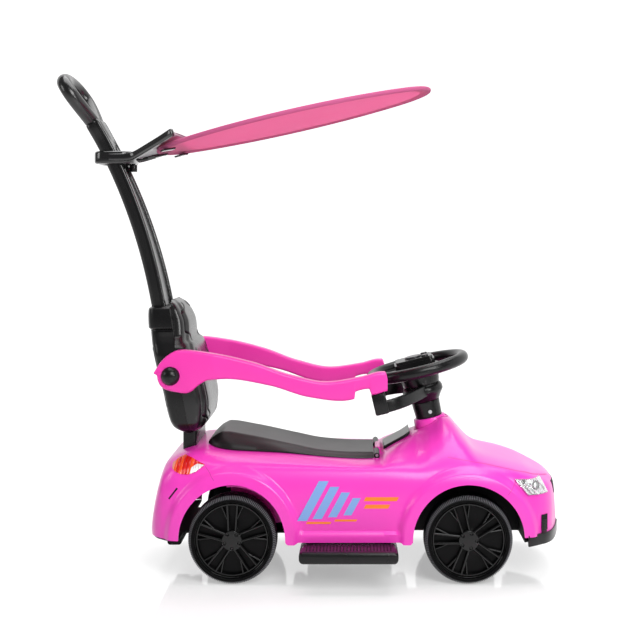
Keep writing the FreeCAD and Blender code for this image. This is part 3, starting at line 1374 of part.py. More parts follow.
def clamp_knob():
    """Thumb screw under the clamp ring."""
    grip = rod(clamp_knob_diameter / 2, V(clamp_knob_x, 0, clamp_low_z - clamp_knob_length - touch_gap),
               V(clamp_knob_x, 0, clamp_low_z - touch_gap))
    shank = rod(clamp_screw_diameter / 2, V(clamp_knob_x, 0, clamp_low_z - 1),
                V(clamp_knob_x, 0, clamp_low_z + clamp_screw_reach))
    return grip.fuse(shank)


def build():
    """Write every sub-part."""
    save("body_shell", body_shell())
    save("front_wheel_liners", front_liners())
    save("chassis_floor", chassis())
    save("chassis_screws", chassis_screws())
    save("storage_tub", storage_tub())
    save("front_grille", front_grille())
    save("front_bumper_lip", bumper_lip())
    save("side_vents", both_sides(side_vent()))
    save("headlight_reflectors", both_sides(head_lamp(seat_clearance, reflector_thickness)))
    save("headlight_lenses", both_sides(head_lamp(reflector_thickness + seat_clearance, lamp_thickness)))
    for name, lamp in zip(("tail_light_lenses", "tail_light_tips"), tail_lamps()):
        save(name, both_sides(lamp))
    save("dash_panel", dash_panel())
    save("seat_lid", seat_lid())
    save("seat_hinge_pin", seat_hinge_pin())
    save("column_sleeve", column_sleeve())
    save("sleeve_screw", sleeve_screw())
    save("guard_bracket", guard_bracket())
    save("steering_wheel", steering_wheel())
    save("hub_cover", hub_cover())
    for name, place in zip(("horn_button", "melody_button_left", "melody_button_right"), button_places()):
        save(name, button(place))
    save("sound_module", sound_module())
    save("steering_shaft", steering_shaft())
    save("tie_rod", tie_rod())
    save("knuckle_left", knuckle())
    save("knuckle_right", mirrored(knuckle()))
    for end, axle_x, turn in (("rear", rear_axle_x, rear_cover_turn),
                              ("front", front_axle_x, front_cover_turn)):
        tyre = wheel(axle_x)
        cover = wheel_cover(axle_x, turn)
        save("wheel_" + end + "_left", tyre)
        save("wheel_" + end + "_right", mirrored(tyre))
        save("wheel_cover_" + end + "_left", cover)
        save("wheel_cover_" + end + "_right", mirrored(cover))
    save("rear_axle", rear_axle())
    save("rear_push_nuts", both_sides(push_nut(rear_axle_x)))
    save("front_push_nut_left", push_nut(front_axle_x))
    save("front_push_nut_right", mirrored(push_nut(front_axle_x)))
    save("footrest_left", footrest())
    save("footrest_right", mirrored(footrest()))
    save("anti_tip_bracket", anti_tip_bracket())
    rear, front = backrest_shells()
    save("backrest_rear_shell", rear)
    save("backrest_front_shell", front)
    save("backrest_screws", backrest_screws())
    save("handle_screws", handle_screws())
    arm = guard_arm()
    save("guard_arm_left", arm)
    save("guard_arm_right", mirrored(arm))
    save("guard_pins", both_sides(guard_pin()))
    save("guard_knobs", both_sides(guard_knob()))
    save("push_handle", push_handle())
    save("canopy_bracket", canopy_bracket())
    save("canopy_clamp_knob", clamp_knob())
    save("canopy_fabric", canopy_fabric())
    save("canopy_wire", canopy_wire())


build()
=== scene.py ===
"""Push car with handle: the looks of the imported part.

Shapes are worked out in millimetres (+X forward, +Y to the car's left, +Z up) and put into meshes in
metres. Each piece is a numpy surface over two parameters, or a profile carried along a path.
"""
import math

import bmesh
import bpy
import numpy as np
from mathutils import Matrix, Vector


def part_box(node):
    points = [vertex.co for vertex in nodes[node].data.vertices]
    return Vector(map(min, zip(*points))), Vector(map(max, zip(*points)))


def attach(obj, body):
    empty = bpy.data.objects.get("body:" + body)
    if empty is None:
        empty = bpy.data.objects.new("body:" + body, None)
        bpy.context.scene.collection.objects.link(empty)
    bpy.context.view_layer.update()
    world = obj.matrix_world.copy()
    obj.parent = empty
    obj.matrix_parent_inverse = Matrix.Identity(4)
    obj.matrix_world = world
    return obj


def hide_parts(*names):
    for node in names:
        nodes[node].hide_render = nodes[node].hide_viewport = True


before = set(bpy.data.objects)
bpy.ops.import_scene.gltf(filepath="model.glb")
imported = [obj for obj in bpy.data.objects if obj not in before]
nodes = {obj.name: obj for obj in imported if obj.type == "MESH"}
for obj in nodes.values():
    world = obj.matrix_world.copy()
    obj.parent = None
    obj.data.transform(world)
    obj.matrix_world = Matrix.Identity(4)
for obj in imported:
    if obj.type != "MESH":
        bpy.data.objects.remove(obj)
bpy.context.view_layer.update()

MM = 0.001                  # shapes are in millimetres, meshes in metres
UP = np.array([0, 0, 1])
ACROSS = np.array([0, 1, 0])
SIDES = ("left", "right")


def cad_size(node):
    """Lowest and highest corner of a CAD node, in millimetres."""
    low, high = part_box(node)
    return np.array(low) / MM, np.array(high) / MM


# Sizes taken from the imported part
wheel_low, wheel_high = cad_size("wheel_rear_left")
front_wheel_low, front_wheel_high = cad_size("wheel_front_left")
wheel_radius = (wheel_high[0] - wheel_low[0]) / 2
wheel_inner, wheel_outer = wheel_low[1], wheel_high[1]
rear_axle_x = (wheel_low[0] + wheel_high[0]) / 2
front_axle_x = (front_wheel_low[0] + front_wheel_high[0]) / 2
axle_z = (wheel_low[2] + wheel_high[2]) / 2
body_low, body_high = cad_size("body_shell")
tail_x, nose_x, floor_z = body_low[0], body_high[0], body_low[2]
tub_low, tub_high = cad_size("storage_tub")
lip_top_z = cad_size("front_bumper_lip")[1][2] - 8

# Sizes of the body's lines
half_width = 142.0
shoulder_z = 190.0
crest_inset = 9.0           # of the shoulder's crest from the side
ridge_z = 213.0             # behind the seat
deck_rear_z = 208.0
deck_front_z = 193.0
seat_rear_x = -167.0
seat_front_x = 124.0
seat_half_width = 82.0
column_foot = np.array([211.5, 0.0, 251.5])
column_x, column_z = column_foot[0], column_foot[2]
column_lean = math.radians(13.5)
column_axis = (-math.sin(column_lean), 0, math.cos(column_lean))
cowl_rear_x = column_x - 24
cowl_front_x = column_x + 26
rear_arch_radius = wheel_radius + 14.5
front_arch_radius = wheel_radius + 18.5
rear_arch_rise = 1.045      # the rear arch's height over its half length
arches = ((rear_axle_x, rear_arch_radius, rear_arch_rise), (front_axle_x, front_arch_radius, 1))
flare_depth = 9.0
flare_flat = 15.0           # width of the flare's flat band
flare_fade = 13.0           # and of its slope
sill_end = 60.0             # from the axles to where the sill starts to stand out
sill_fade = 20.0
sill_top_z = 85.0
sill_proud = 5.5
sill_ledge = 3.0            # height over which the sill steps out
sill_drop = 2.4             # how far the sill's edge hangs below the floor line
corner_drop = 3.4           # and its corners beside the wheels, further
corner_length = 20.0        # of those corners along the sill
corner_fade = 5.0           # length over which they start and round off
corner_rounding = 4.0
nose_lift = 5.0             # the nose's edge above the floor line, over the bumper lip
edge_return = 12.0          # how far the body's edge turns in under itself
tub_lap = 2.0               # how far the deck's edge laps over the tub's rim


# Shapes

def column(*values):
    """Values one below the other, to pair each with a row of others."""
    return np.array(values, float)[:, None]


def shifted(x, z, *points):
    """Points (x, z) given from a place of their own."""
    return [(x + along, z + up) for along, up in points]


def full_turn(count):
    """Even angles round a full turn."""
    return np.linspace(0, 2 * np.pi, count, endpoint=False)


def unit(vectors):
    """Vectors brought to length one."""
    return vectors / np.linalg.norm(vectors, axis=-1, keepdims=True)


def grid(x, y, z):
    """Points from coordinates that spread over a common grid."""
    return np.stack(np.broadcast_arrays(x, y, z), -1)


def ease(t):
    """Smooth step from 0 at t = 0 to 1 at t = 1."""
    t = np.clip(t, 0, 1)
    return t * t * (3 - 2 * t)


def cubic(t, start, leaving, end, arriving):
    """Cubic from start to end over t in 0..1, with the slopes at which it leaves and arrives."""
    return ((1 + 2 * t) * (1 - t) ** 2 * start + t * (1 - t) ** 2 * leaving
            + t * t * (3 - 2 * t) * end + t * t * (t - 1) * arriving)


def smooth_line(points):
    """A curve through (x, value) points that never overshoots: cubic pieces, harmonic-mean slopes."""
    xs, ys = np.array(points, float).T
    rises = np.diff(ys) / np.diff(xs)
    before, after = rises[:-1], rises[1:]
    total = np.where(before * after > 0, before + after, 1)
    inner = np.where(before * after > 0, 2 * before * after / total, 0)
    slopes = np.concatenate([rises[:1], inner, rises[-1:]])

    def value(x):
        x = np.clip(x, xs[0], xs[-1])
        i = np.clip(np.searchsorted(xs, x, side="right") - 1, 0, len(xs) - 2)
        width = xs[i + 1] - xs[i]
        return cubic((x - xs[i]) / width, ys[i], width * slopes[i], ys[i + 1], width * slopes[i + 1])

    return value


def closed_curve(points, count):
    """A smooth closed curve through points: cubic pieces, each slope half the step between neighbours."""
    points = np.array(points, float)
    place = np.linspace(0, len(points), count, endpoint=False)
    i, t = place.astype(int), (place % 1)[:, None]
    before, start, end, after = [points[(i + k) % len(points)] for k in (-1, 0, 1, 2)]
    return cubic(t, start, (end - before) / 2, end, (after - start) / 2)


def spline_weights(count, t):
    """Weights of a clamped cubic B-spline's poles at t in 0..1, by de Boor's recursion."""
    knots = np.concatenate([np.zeros(3), np.linspace(0, 1, count - 2), np.ones(3)])
    t = np.clip(t, 0, 1 - 1e-9)[..., None]
    weights = ((knots[:-1] <= t) & (t < knots[1:])).astype(float)
    for degree in (1, 2, 3):
        span = knots[degree:] - knots[:-degree]
        span = np.where(span > 0, span, 1)
        rising = (t - knots[:-degree]) / span
        weights = (rising[..., :-1] * weights[..., :-1]
                   + (1 - rising[..., 1:]) * weights[..., 1:])
    return weights


def lattice(points, close_rows=False, close_columns=False):
    """Quads over a grid of points (rows, columns, 3); closing joins the last row or column to the first."""
    rows, columns = points.shape[:2]
    r = np.arange(rows if close_rows else rows - 1)[:, None]
    c = np.arange(columns if close_columns else columns - 1)[None, :]
    r1, c1 = (r + 1) % rows, (c + 1) % columns
    faces = np.stack([r * columns + c, r1 * columns + c, r1 * columns + c1, r * columns + c1], -1)
    return points.reshape(-1, 3), faces.reshape(-1, 4)


def capped(rows):
    """A grid of closed rings with both ends drawn together to a point, so that it closes."""
    first, last = rows[:1].mean(1, keepdims=True), rows[-1:].mean(1, keepdims=True)
    whole = np.concatenate([first + 0 * rows[:1], rows, last + 0 * rows[-1:]])
    return lattice(whole, close_columns=True)


def turned(profile, centre, axis, count, closed=True):
    """A profile of (radius, distance along axis) points turned round an axis through centre."""
    axis = unit(np.array(axis, float))
    first = unit(np.cross(axis, (0.3, 0.2, 0.9)))
    second = np.cross(axis, first)
    turn = full_turn(count)[:, None, None]
    radius, along = np.array(profile, float).T[:, None, :, None]
    points = centre + radius * (np.cos(turn) * first + np.sin(turn) * second) + along * axis
    return lattice(points, True, closed)


def led(path, across, up, closed=False, normal=UP):
    """A section (across, up) carried along a path, its up direction kept nearest to a normal."""
    steps = np.roll(path, -1, 0) - np.roll(path, 1, 0) if closed else np.gradient(path, axis=0)
    along = unit(steps)
    side = unit(np.cross(along, normal))
    rise = np.cross(side, along)
    points = path[:, None] + across[..., None] * side[:, None] + up[..., None] * rise[:, None]
    return lattice(points, True, True) if closed else capped(points)


def rounded_loop(half_wide, half_high, corner):
    """Rings of a rounded rectangle, one for each row of sizes: across and up, six points to a corner."""
    turn = np.linspace(0, np.pi / 2, 6)
    across, up = [], []
    for k, (right, top) in enumerate(((1, 1), (-1, 1), (-1, -1), (1, -1))):
        across.append(right * (half_wide - corner) + corner * np.cos(turn + k * np.pi / 2))
        up.append(top * (half_high - corner) + corner * np.sin(turn + k * np.pi / 2))
    return np.concatenate(across, -1), np.concatenate(up, -1)


def cross_bar(x, y, z, half_long, half_high, corner, less):
    """A bar across the car: rounded rectangles about (x, z) at places y, each drawn in by its less."""
    along, up = rounded_loop(half_long - less, half_high - less, corner)
    return capped(grid(x + along, y, z + up))


def mirrored(parts):
    """The same surfaces on the car's other side, their faces turned round to stay outward."""
    return [(verts * np.array([1, -1, 1]), faces[:, ::-1]) for verts, faces in parts]


def both_sides(parts):
    """Left-hand surfaces and their mirror images."""
    return parts + mirrored(parts)


def on_side(side, parts):
    """Left-hand surfaces as they are, or mirrored for the right."""
    return parts if side == "left" else mirrored(parts)


def piece(name, parts, finish, body, stands_for=(), closed=True, sharp=35):
    """One object from several grids: doubles merged, normals outward, smooth but for sharp edges."""
    verts = np.concatenate([p[0] for p in parts]) * MM
    starts = np.cumsum([0] + [len(p[0]) for p in parts[:-1]])
    faces = np.concatenate([p[1] + s for p, s in zip(parts, starts)])
    mesh = bpy.data.meshes.new(name)
    mesh.from_pydata(verts.tolist(), [], faces.tolist())
    work = bmesh.new()
    work.from_mesh(mesh)
    bmesh.ops.remove_doubles(work, verts=work.verts, dist=2e-6)
    bmesh.ops.dissolve_degenerate(work, edges=work.edges, dist=1e-6)
    if closed:
        bmesh.ops.recalc_face_normals(work, faces=work.faces)
    work.to_mesh(mesh)
    work.free()
    mesh.shade_smooth()
    mesh.set_sharp_from_angle(angle=math.radians(sharp))
    mesh.materials.append(finish)
    made = bpy.data.objects.new(name, mesh)
    bpy.context.scene.collection.objects.link(made)
    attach(made, body)
    if stands_for:
        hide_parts(*stands_for)
    return made


def mesh_points(made):
    """An object's points in metres, one to a row."""
    points = np.empty(3 * len(made.data.vertices))
    made.data.vertices.foreach_get("co", points)
    return points.reshape(-1, 3)


# Finishes

def hex_colour(code):
    """An sRGB hex code as linear RGBA."""
    values = np.array([int(code[i:i + 2], 16) for i in (1, 3, 5)]) / 255
    linear = np.where(values <= 0.04045, values / 12.92, ((values + 0.055) / 1.055) ** 2.4)
    return (*linear, 1.0)


def per_mm(size):
    """Texture scale, on coordinates in metres, of a pattern that repeats every size millimetres."""
    return 1 / (size * MM)


def wave_scale(size):
    """Scale of a wave texture, whose own period is 2 pi / 20, for bands every size millimetres."""
    return 2 * math.pi / (20 * size * MM)


def new_finish(name):
    """An empty finish and its main shader."""
    finish = bpy.data.materials.new(name)
    finish.use_nodes = True
    return finish, finish.node_tree.nodes["Principled BSDF"]


def wire(finish, shader, inputs):
    """Sockets of a shader node set to values, or linked to other nodes' outputs."""
    for socket, value in inputs.items():
        if isinstance(value, bpy.types.NodeSocket):
            finish.node_tree.links.new(value, shader.inputs[socket])
        else:
            shader.inputs[socket].default_value = value


def add(finish, kind, inputs, output, **settings):
    """One more shader node with its settings and wired inputs; gives back one of its outputs."""
    made = finish.node_tree.nodes.new("ShaderNode" + kind)
    for key, value in settings.items():
        setattr(made, key, value)
    wire(finish, made, inputs)
    return made.outputs[output]


def noise(finish, place, size, detail):
    """Soft patches of a size in millimetres."""
    return add(finish, "TexNoise", {"Vector": place, "Scale": per_mm(size), "Detail": detail}, "Fac")


def two_tone(finish, share, colour, shade):
    """Colour that goes over into a shade as share goes from 0 to 1."""
    inputs = {"Factor": share, 6: hex_colour(colour), 7: hex_colour(shade)}
    return add(finish, "Mix", inputs, 2, data_type="RGBA")


def spread(finish, share, low, high):
    """A value between low and high."""
    return add(finish, "MapRange", {"Value": share, "To Min": low, "To Max": high}, "Result")


def bump(finish, height, depth, strength):
    """Relief of a depth in millimetres."""
    inputs = {"Height": height, "Distance": depth * MM, "Strength": strength}
    return add(finish, "Bump", inputs, "Normal")


def plastic(name, colour, shade, roughness, grain, depth, patch=60.0, coat=0.0, mirror=0.5, mark=None):
    """Moulded plastic: colour that drifts a little over the part, and a fine tool grain.

    The grain's size and depth are in millimetres; it is drawn coarser than real, so that it shows.
    With a mark, the mesh's attribute of that name tells where the shade goes.
    """
    finish, shader = new_finish(name)
    place = add(finish, "TexCoord", {}, "Object")
    drift = noise(finish, place, patch, 3.0)
    grit = noise(finish, place, grain, 2.0)
    share = add(finish, "Attribute", {}, "Fac", attribute_name=mark) if mark else drift
    wire(finish, shader, {
        "Base Color": two_tone(finish, share, colour, shade),
        "Roughness": spread(finish, drift, roughness - 0.05, roughness + 0.05),
        "Normal": bump(finish, grit, depth, 1.0),
        "IOR": 1.49, "Specular IOR Level": mirror, "Coat Weight": coat, "Coat Roughness": 0.12})
    return finish


def plated(name, colour, roughness):
    """Bright metal skin, its gloss a little uneven."""
    finish, shader = new_finish(name)
    grit = noise(finish, add(finish, "TexCoord", {}, "Object"), 1.5, 4.0)
    wire(finish, shader, {"Roughness": spread(finish, grit, roughness - 0.08, roughness + 0.1),
                          "Base Color": hex_colour(colour), "Metallic": 1.0})
    return finish


def lamp_glass(name, colour, roughness):
    """Clear polycarbonate with shallow ribs, as lamp lenses are moulded."""
    finish, shader = new_finish(name)
    place = add(finish, "TexCoord", {}, "Object")
    ribs = add(finish, "TexWave", {"Vector": place, "Scale": wave_scale(3.2), "Distortion": 0.4}, "Fac")
    wire(finish, shader, {"Normal": bump(finish, ribs, 0.25, 0.6), "Base Color": hex_colour(colour),
                          "Roughness": roughness, "IOR": 1.58, "Transmission Weight": 0.85})
    return finish


def woven_cloth(name, colour, shade, thread):
    """Plain-weave polyester, thin enough to glow with light from above; threads cross along UV."""
    finish, shader = new_finish(name)
    flat = add(finish, "UVMap", {}, "UV", uv_map="cloth")
    tone = two_tone(finish, noise(finish, flat, 90.0, 4.0), colour, shade)
    threads = {"Vector": flat, "Scale": wave_scale(thread)}
    warp = add(finish, "TexWave", threads, "Fac", bands_direction="X")
    weft = add(finish, "TexWave", threads, "Fac", bands_direction="Y")
    weave = add(finish, "Math", {0: warp, 1: weft}, "Value", operation="ADD")
    relief = bump(finish, weave, 0.12, 0.6)
    wire(finish, shader, {"Base Color": tone, "Normal": relief, "Roughness": 0.75, "Sheen Weight": 0.25,
                          "Sheen Roughness": 0.5})
    through = add(finish, "BsdfTranslucent", {"Color": tone, "Normal": relief}, "BSDF")
    both = add(finish, "MixShader", {"Fac": 0.5, 1: shader.outputs["BSDF"], 2: through}, "Shader")
    wire(finish, finish.node_tree.nodes["Material Output"], {"Surface": both})
    return finish


pink = plastic("pink_polypropylene_gloss", "#FA44C6", "#F73CBF", 0.30, 1.6, 0.004, 80.0, 0.15)
# Darker pink for painted shade: groove and crease lines on the body and round the cowl's neck are dark strips
# standing in for the shade in them.
groove_shade_pink = plastic("pink_polypropylene_painted_groove_shade", "#D838A4", "#D0329C", 0.5, 1.6, 0.010)
pink_arm = plastic("pink_polypropylene_satin", "#F93DB4", "#F537AD", 0.36, 1.4, 0.012)
black = plastic("black_polypropylene_satin", "#0B0B0C", "#101011", 0.28, 1.6, 0.006, mirror=0.32)
handle_black = plastic("black_polypropylene_handle", "#0B0B0C", "#0F0F10", 0.24, 1.6, 0.006, mirror=0.62)
black_gloss = plastic("black_abs_gloss", "#0B0B0C", "#0F0F10", 0.12, 2.4, 0.002, 60.0, 0.6)
black_dull = plastic("black_polypropylene_dull", "#0F0F10", "#141415", 0.6, 1.0, 0.030, mirror=0.2)
pad_black = plastic("black_polypropylene_pad", "#0C0C0D", "#111112", 0.26, 1.4, 0.004)
seat_black = plastic("black_polypropylene_seat", "#0D0A0B", "#110E0F", 0.42, 1.1, 0.012, mirror=0.45)
# Black tyre; its second colour, a mid grey, is a painted highlight on the tread's teeth where light catches
# their edges.
tyre_black = plastic("black_polyethylene_tyre_painted_highlights", "#060607", "#7C7C80", 0.34, 1.0, 0.008, mirror=0.12,
                     mark="tooth_highlight")
rim_black = plastic("black_abs_rim", "#060607", "#090A0A", 0.12, 2.0, 0.001, mirror=0.4)
# Painted reflection: light grey for the white surroundings mirrored in the fan plate's gloss black underside.
plate_painted_reflection = plastic("grey_painted_reflection_plate", "#BDBDC0", "#B5B5B9", 0.3, 1.4, 0.006)
button_grey = plastic("grey_abs_button", "#2A2A2D", "#303034", 0.3, 1.4, 0.010)
steel = plated("zinc_plated_steel", "#C9CBCE", 0.32)
chrome = plated("vacuum_metallised_plastic", "#E6E8EA", 0.12)
lamp_clear = lamp_glass("clear_polycarbonate", "#FFFFFF", 0.06)
lamp_red = plastic("red_polycarbonate", "#E31208", "#D40C06", 0.22, 3.0, 0.004, 20.0, 0.2)
lamp_orange = plastic("orange_polycarbonate", "#FF5A1E", "#F64A12", 0.22, 3.0, 0.004, 20.0, 0.2)
lamp_pale = plastic("pale_red_polycarbonate", "#F59A86", "#F08C78", 0.22, 3.0, 0.004, 20.0, 0.2)
lamp_white = plastic("white_polycarbonate", "#F4F2F2", "#EAE6E8", 0.12, 3.0, 0.004, 20.0, 0.6)
print_blue = plastic("light_blue_print", "#86AEE8", "#7FA7E2", 0.35, 1.2, 0.004)
print_orange = plastic("orange_print", "#FF8A28", "#FA8422", 0.35, 1.2, 0.004)
cloth = woven_cloth("pink_polyester_weave", "#F793C4", "#F58DBF", 1.2)
# Painted shade: the hem is the canopy's own cloth, coloured darker for the shade of its folded, doubled edge;
# the stitches share it.
hem_cloth_painted_shade = woven_cloth("pink_polyester_hem_painted_shade", "#E97CB1", "#E374AA", 1.2)

# CAD nodes that stay in sight, by their finish
for finish, names in (
        (black, ("front_bumper_lip", "dash_panel", "column_sleeve", "steering_wheel", "hub_cover",
                 "guard_knobs", "canopy_clamp_knob")),
        (black_dull, ("front_wheel_liners", "chassis_floor", "storage_tub", "side_vents", "sound_module",
                      "knuckle_left", "knuckle_right", "anti_tip_bracket")),
        (button_grey, ("horn_button", "melody_button_left", "melody_button_right")),
        (steel, ("chassis_screws", "seat_hinge_pin", "sleeve_screw", "steering_shaft", "tie_rod",
                 "rear_axle", "rear_push_nuts", "front_push_nut_left", "front_push_nut_right",
                 "handle_screws", "guard_pins", "canopy_wire"))):
    for name in names:
        nodes[name].data.materials.clear()
        nodes[name].data.materials.append(finish)


# Body skin

top_line = smooth_line(
    shifted(tail_x, floor_z, (0, 24), (4, 50), (10, 76), (17, 101), (26, 119))
    + shifted(tail_x, ridge_z, (40, -12), (58, -4.5), (78, 0))
    + shifted(seat_rear_x, ridge_z, (-3, 0.5))
    + shifted(seat_rear_x, deck_rear_z, (15, 2), (35, 0))
    + [(-38, deck_rear_z - 5), (52, deck_front_z + 2), (97, deck_front_z)]
    + shifted(seat_front_x, deck_front_z, (1, 0.5), (10, 8))
    + shifted(cowl_rear_x, column_z, (-6, -25), (0, -22), (24, -8.5))
    + shifted(cowl_front_x, column_z, (-5, 3), (5, 0.5), (30, -26), (48, -45))
    + shifted(0, column_z, (302, -54), (325, -60), (345, -65), (367, -71.5), (388, -81))
    + shifted(nose_x, column_z, (-22, -88.5), (-9.5, -96), (-6, -103), (-2, -124), (0, -150)))
side_line = smooth_line(
    shifted(tail_x, half_width, (0, -54), (4, -38), (12, -24), (26, -12), (53, -4))
    + shifted(0, half_width, (rear_axle_x, 0), (column_x, -1), (front_axle_x, 0), (340, -3), (375, -10))
    + shifted(nose_x, half_width, (-36, -19), (-26, -29), (-18, -42), (-13, -56), (-8, -72), (-4, -90),
              (0, -108)))
crest_line = smooth_line(
    shifted(tail_x, floor_z, (0, 16), (6, 46), (14, 78))
    + shifted(tail_x, shoulder_z, (24, -18), (43, -5), (78, 0))
    + shifted(0, shoulder_z, (column_x, -1), (front_axle_x, -1), (330, -8), (367, -18))
    + shifted(nose_x, shoulder_z, (-32, -30), (-17, -41), (-7, -58))
    + [(nose_x, floor_z + 20)])
top_width_line = smooth_line(
    shifted(tail_x, 0, (0, 60), (18, 85), (43, 95), (78, 100))
    + shifted(0, seat_half_width, (rear_axle_x, 14), (0, 10), (seat_front_x - 14, 10), (seat_front_x + 5, 6))
    + [(160, 66), (cowl_rear_x, 40), (column_x - 12, 34), (column_x + 18, 34)]
    + shifted(cowl_front_x, 0, (6, 38), (30, 54))
    + [(290, 64), (340, 66), (390, 60), (nose_x - 12, 48), (nose_x - 4, 32), (nose_x, 20)])
cowl_fullness = smooth_line([
    (tail_x, 0), (cowl_rear_x - 8, 0), (column_x, 9), (cowl_front_x + 25, 11), (cowl_front_x + 58, 2),
    (nose_x, 0)])
section_poles = 15          # across the whole body, right edge to left edge
flare_share = 0.7           # of the half-breadth, beyond which flares and sill show
bar_lean = 0.55             # of the printed bars' ends, forward over up
patch_depth = 0.4           # of sheets on the body's side, into the skin


def section(x, t):
    """Half-breadth and height of the body's section at x, t from 0 at the floor edge to 0.5 on the ridge.

    A cubic B-spline over poles at the floor, the side, the shoulder's crest, the deck's edge and the
    ridge; the pole between crest and deck stands out where the cowl's flank is round.
    """
    side, crest, top, flat = side_line(x), crest_line(x), top_line(x), top_width_line(x)
    rise, full = crest - floor_z, cowl_fullness(x)
    crest_breadth = side - crest_inset
    flank_breadth = 0.5 * (crest_breadth + flat) + 0.3 * full
    flank_height = 0.5 * (crest + top) + full
    breadths = [side - 1, side + 1, side, crest_breadth, flank_breadth, flat, 0.5 * flat]
    heights = [floor_z + 0 * x, floor_z + 0.4 * rise, crest - 0.25 * rise, crest, flank_height, top, top]
    breadths = np.stack(breadths + [0 * x] + [-b for b in reversed(breadths)], -1)
    heights = np.stack(heights + [top] + heights[::-1], -1)
    weights = spline_weights(section_poles, t)
    return np.sum(weights * breadths[..., None, :], -1), np.sum(weights * heights[..., None, :], -1)


def stand_out(x, z):
    """How far the arch flares and the sill stand out from the side: a flat band, then a smooth slope."""
    proud = 0 * x * z
    for axle_x, radius, rise in arches:
        outside = np.hypot(x - axle_x, (z - axle_z) / rise) - radius
        proud = np.maximum(proud, flare_depth * ease(1 - (outside - flare_flat) / flare_fade))
    between = ease((x - rear_axle_x - sill_end) / sill_fade) * ease((front_axle_x - sill_end - x) / sill_fade)
    return np.maximum(proud, sill_proud * between * ease((sill_top_z - z) / sill_ledge))


def body_rows(x, t):
    """Points of the right half of the body's skin at stations x, parameters t, flares and sill included."""
    breadth, height = section(x, t)
    out = stand_out(x[:, None], height)
    breadth = breadth + np.where(breadth > flare_share * side_line(x)[:, None], out, 0)
    return grid(x[:, None], -breadth, height)


def crossing(x, wanted, which):
    """Parameter t where the section at each x first reaches a height (which 1) or half-breadth (which 0)."""
    t = np.linspace(0, 0.5, 1500)
    values = section(x, np.broadcast_to(t, (len(x), len(t))))[which]
    past = values >= wanted[:, None] if which == 1 else values <= wanted[:, None]
    k = np.clip(np.argmax(past, 1), 1, len(t) - 1)
    rows = np.arange(len(x))
    before, after = values[rows, k - 1], values[rows, k]
    share = np.clip((wanted - before) / np.where(after == before, 1, after - before), 0, 1)
    return np.where(past[:, 0], 0, t[k - 1] + share * (t[k] - t[k - 1]))


def edge_height(x):
    """Lower edge of the body's side: the floor line, or the round arch over a wheel."""
    over = np.maximum(*[rise ** 2 * (radius ** 2 - (x - axle_x) ** 2) for axle_x, radius, rise in arches])
    plain_edge = floor_z + nose_lift * (x > front_axle_x)
    return np.where(over > 0, np.maximum(plain_edge, axle_z + np.sqrt(np.maximum(over, 0))), plain_edge)


def edge_drop(x):
    """How far the side's edge hangs below the floor: a little at the sill, more at its rounded corners."""
    inside = np.minimum(x - rear_axle_x - rear_arch_radius, front_axle_x - front_arch_radius - x)
    rounded = corner_rounding * np.clip(1 - inside / corner_fade, 0, 1) ** 2
    drop = sill_drop + corner_drop * ease((corner_length - inside) / corner_fade) - rounded
    return np.where(inside > -0.2, drop, 0)


def body_stations():
    """Stations along the car: even ones, close ones round each arch by angle, and the tub's ends."""
    t = np.linspace(-1, 1, 260)
    even = (tail_x + nose_x) / 2 + (nose_x - tail_x) / 2 * (0.6 * t + 0.4 * np.sin(t * np.pi / 2))
    turn = np.linspace(0, np.pi, 70)
    round_arches = [axle_x + radius * np.cos(turn) for axle_x, radius, rise in arches]
    tub = np.array([tub_low[0] + tub_lap, tub_high[0] - tub_lap])
    return np.unique(np.round(np.concatenate([even, *round_arches, tub]), 3))


def body_skin():
    """Outer skin of the body with the edge turned in, and the tub's opening left out."""
    x = body_stations()
    low = crossing(x, edge_height(x), 1)[:, None]
    tub_line = crossing(x, 0 * x + tub_high[1] - tub_lap, 0)[:, None]
    up = np.linspace(0, 1, 120)
    over = np.linspace(0, 1, 26)[1:]
    t = np.concatenate([low + up * (tub_line - low), tub_line + over * (0.5 - tub_line)], 1)
    half = body_rows(x, t)
    hang = half[:, :1] - edge_drop(x)[:, None, None] * UP
    inward = np.array([[0, 3.0, edge_return], [0, 3.0, 0.6], [0, 1.2, -0.2]])
    half = np.concatenate([hang + inward, hang, half], 1)
    full = np.concatenate([half, (half * np.array([1, -1, 1]))[:, -2::-1]], 1)
    verts, faces = lattice(full)
    middle = verts[faces].mean(1)
    hole = ((middle[:, 0] > tub_low[0] + tub_lap / 2) & (middle[:, 0] < tub_high[0] - tub_lap / 2)
            & (np.abs(middle[:, 1]) < tub_high[1] - tub_lap) & (middle[:, 2] > deck_front_z - 10))
    return verts, faces[~hole][:, ::-1]


piece("body_skin", [body_skin()], pink, "car", ["body_shell"], closed=False, sharp=40)


# Lines of painted shade, prints and lamps on the body

def side_y(x, z):
    """Half-breadth of the body's side over a grid of places (x, z), flares and sill included."""
    flat_x, flat_z = x.ravel(), z.ravel()
    t = crossing(flat_x, flat_z, 1)
    return (section(flat_x, t[:, None])[0][:, 0] + stand_out(flat_x, flat_z)).reshape(x.shape)


def side_patch(x, z, proud):
    """A thin closed sheet on the body's left side over a grid of places (x, z), proud of the skin."""
    y = side_y(*np.broadcast_arrays(x, z))
    outer, inner = grid(x, y + proud, z), grid(x, y - patch_depth, z)
    return capped(np.concatenate([outer, inner[:, ::-1]], 1))


def side_stripe(points, width, proud=0.12):
    """A narrow line on the body's left side along (x, z) points."""
    points = np.array(points, float)
    share = np.linspace(0, len(points) - 1, 12 * len(points))
    line = np.stack([np.interp(share, np.arange(len(points)), points[:, k]) for k in (0, 1)], -1)
    along = unit(np.gradient(line, axis=0))
    offset = width * np.array([-0.5, 0, 0.5])
    return side_patch(line[:, :1] - along[:, 1:] * offset, line[:, 1:] + along[:, :1] * offset, proud)


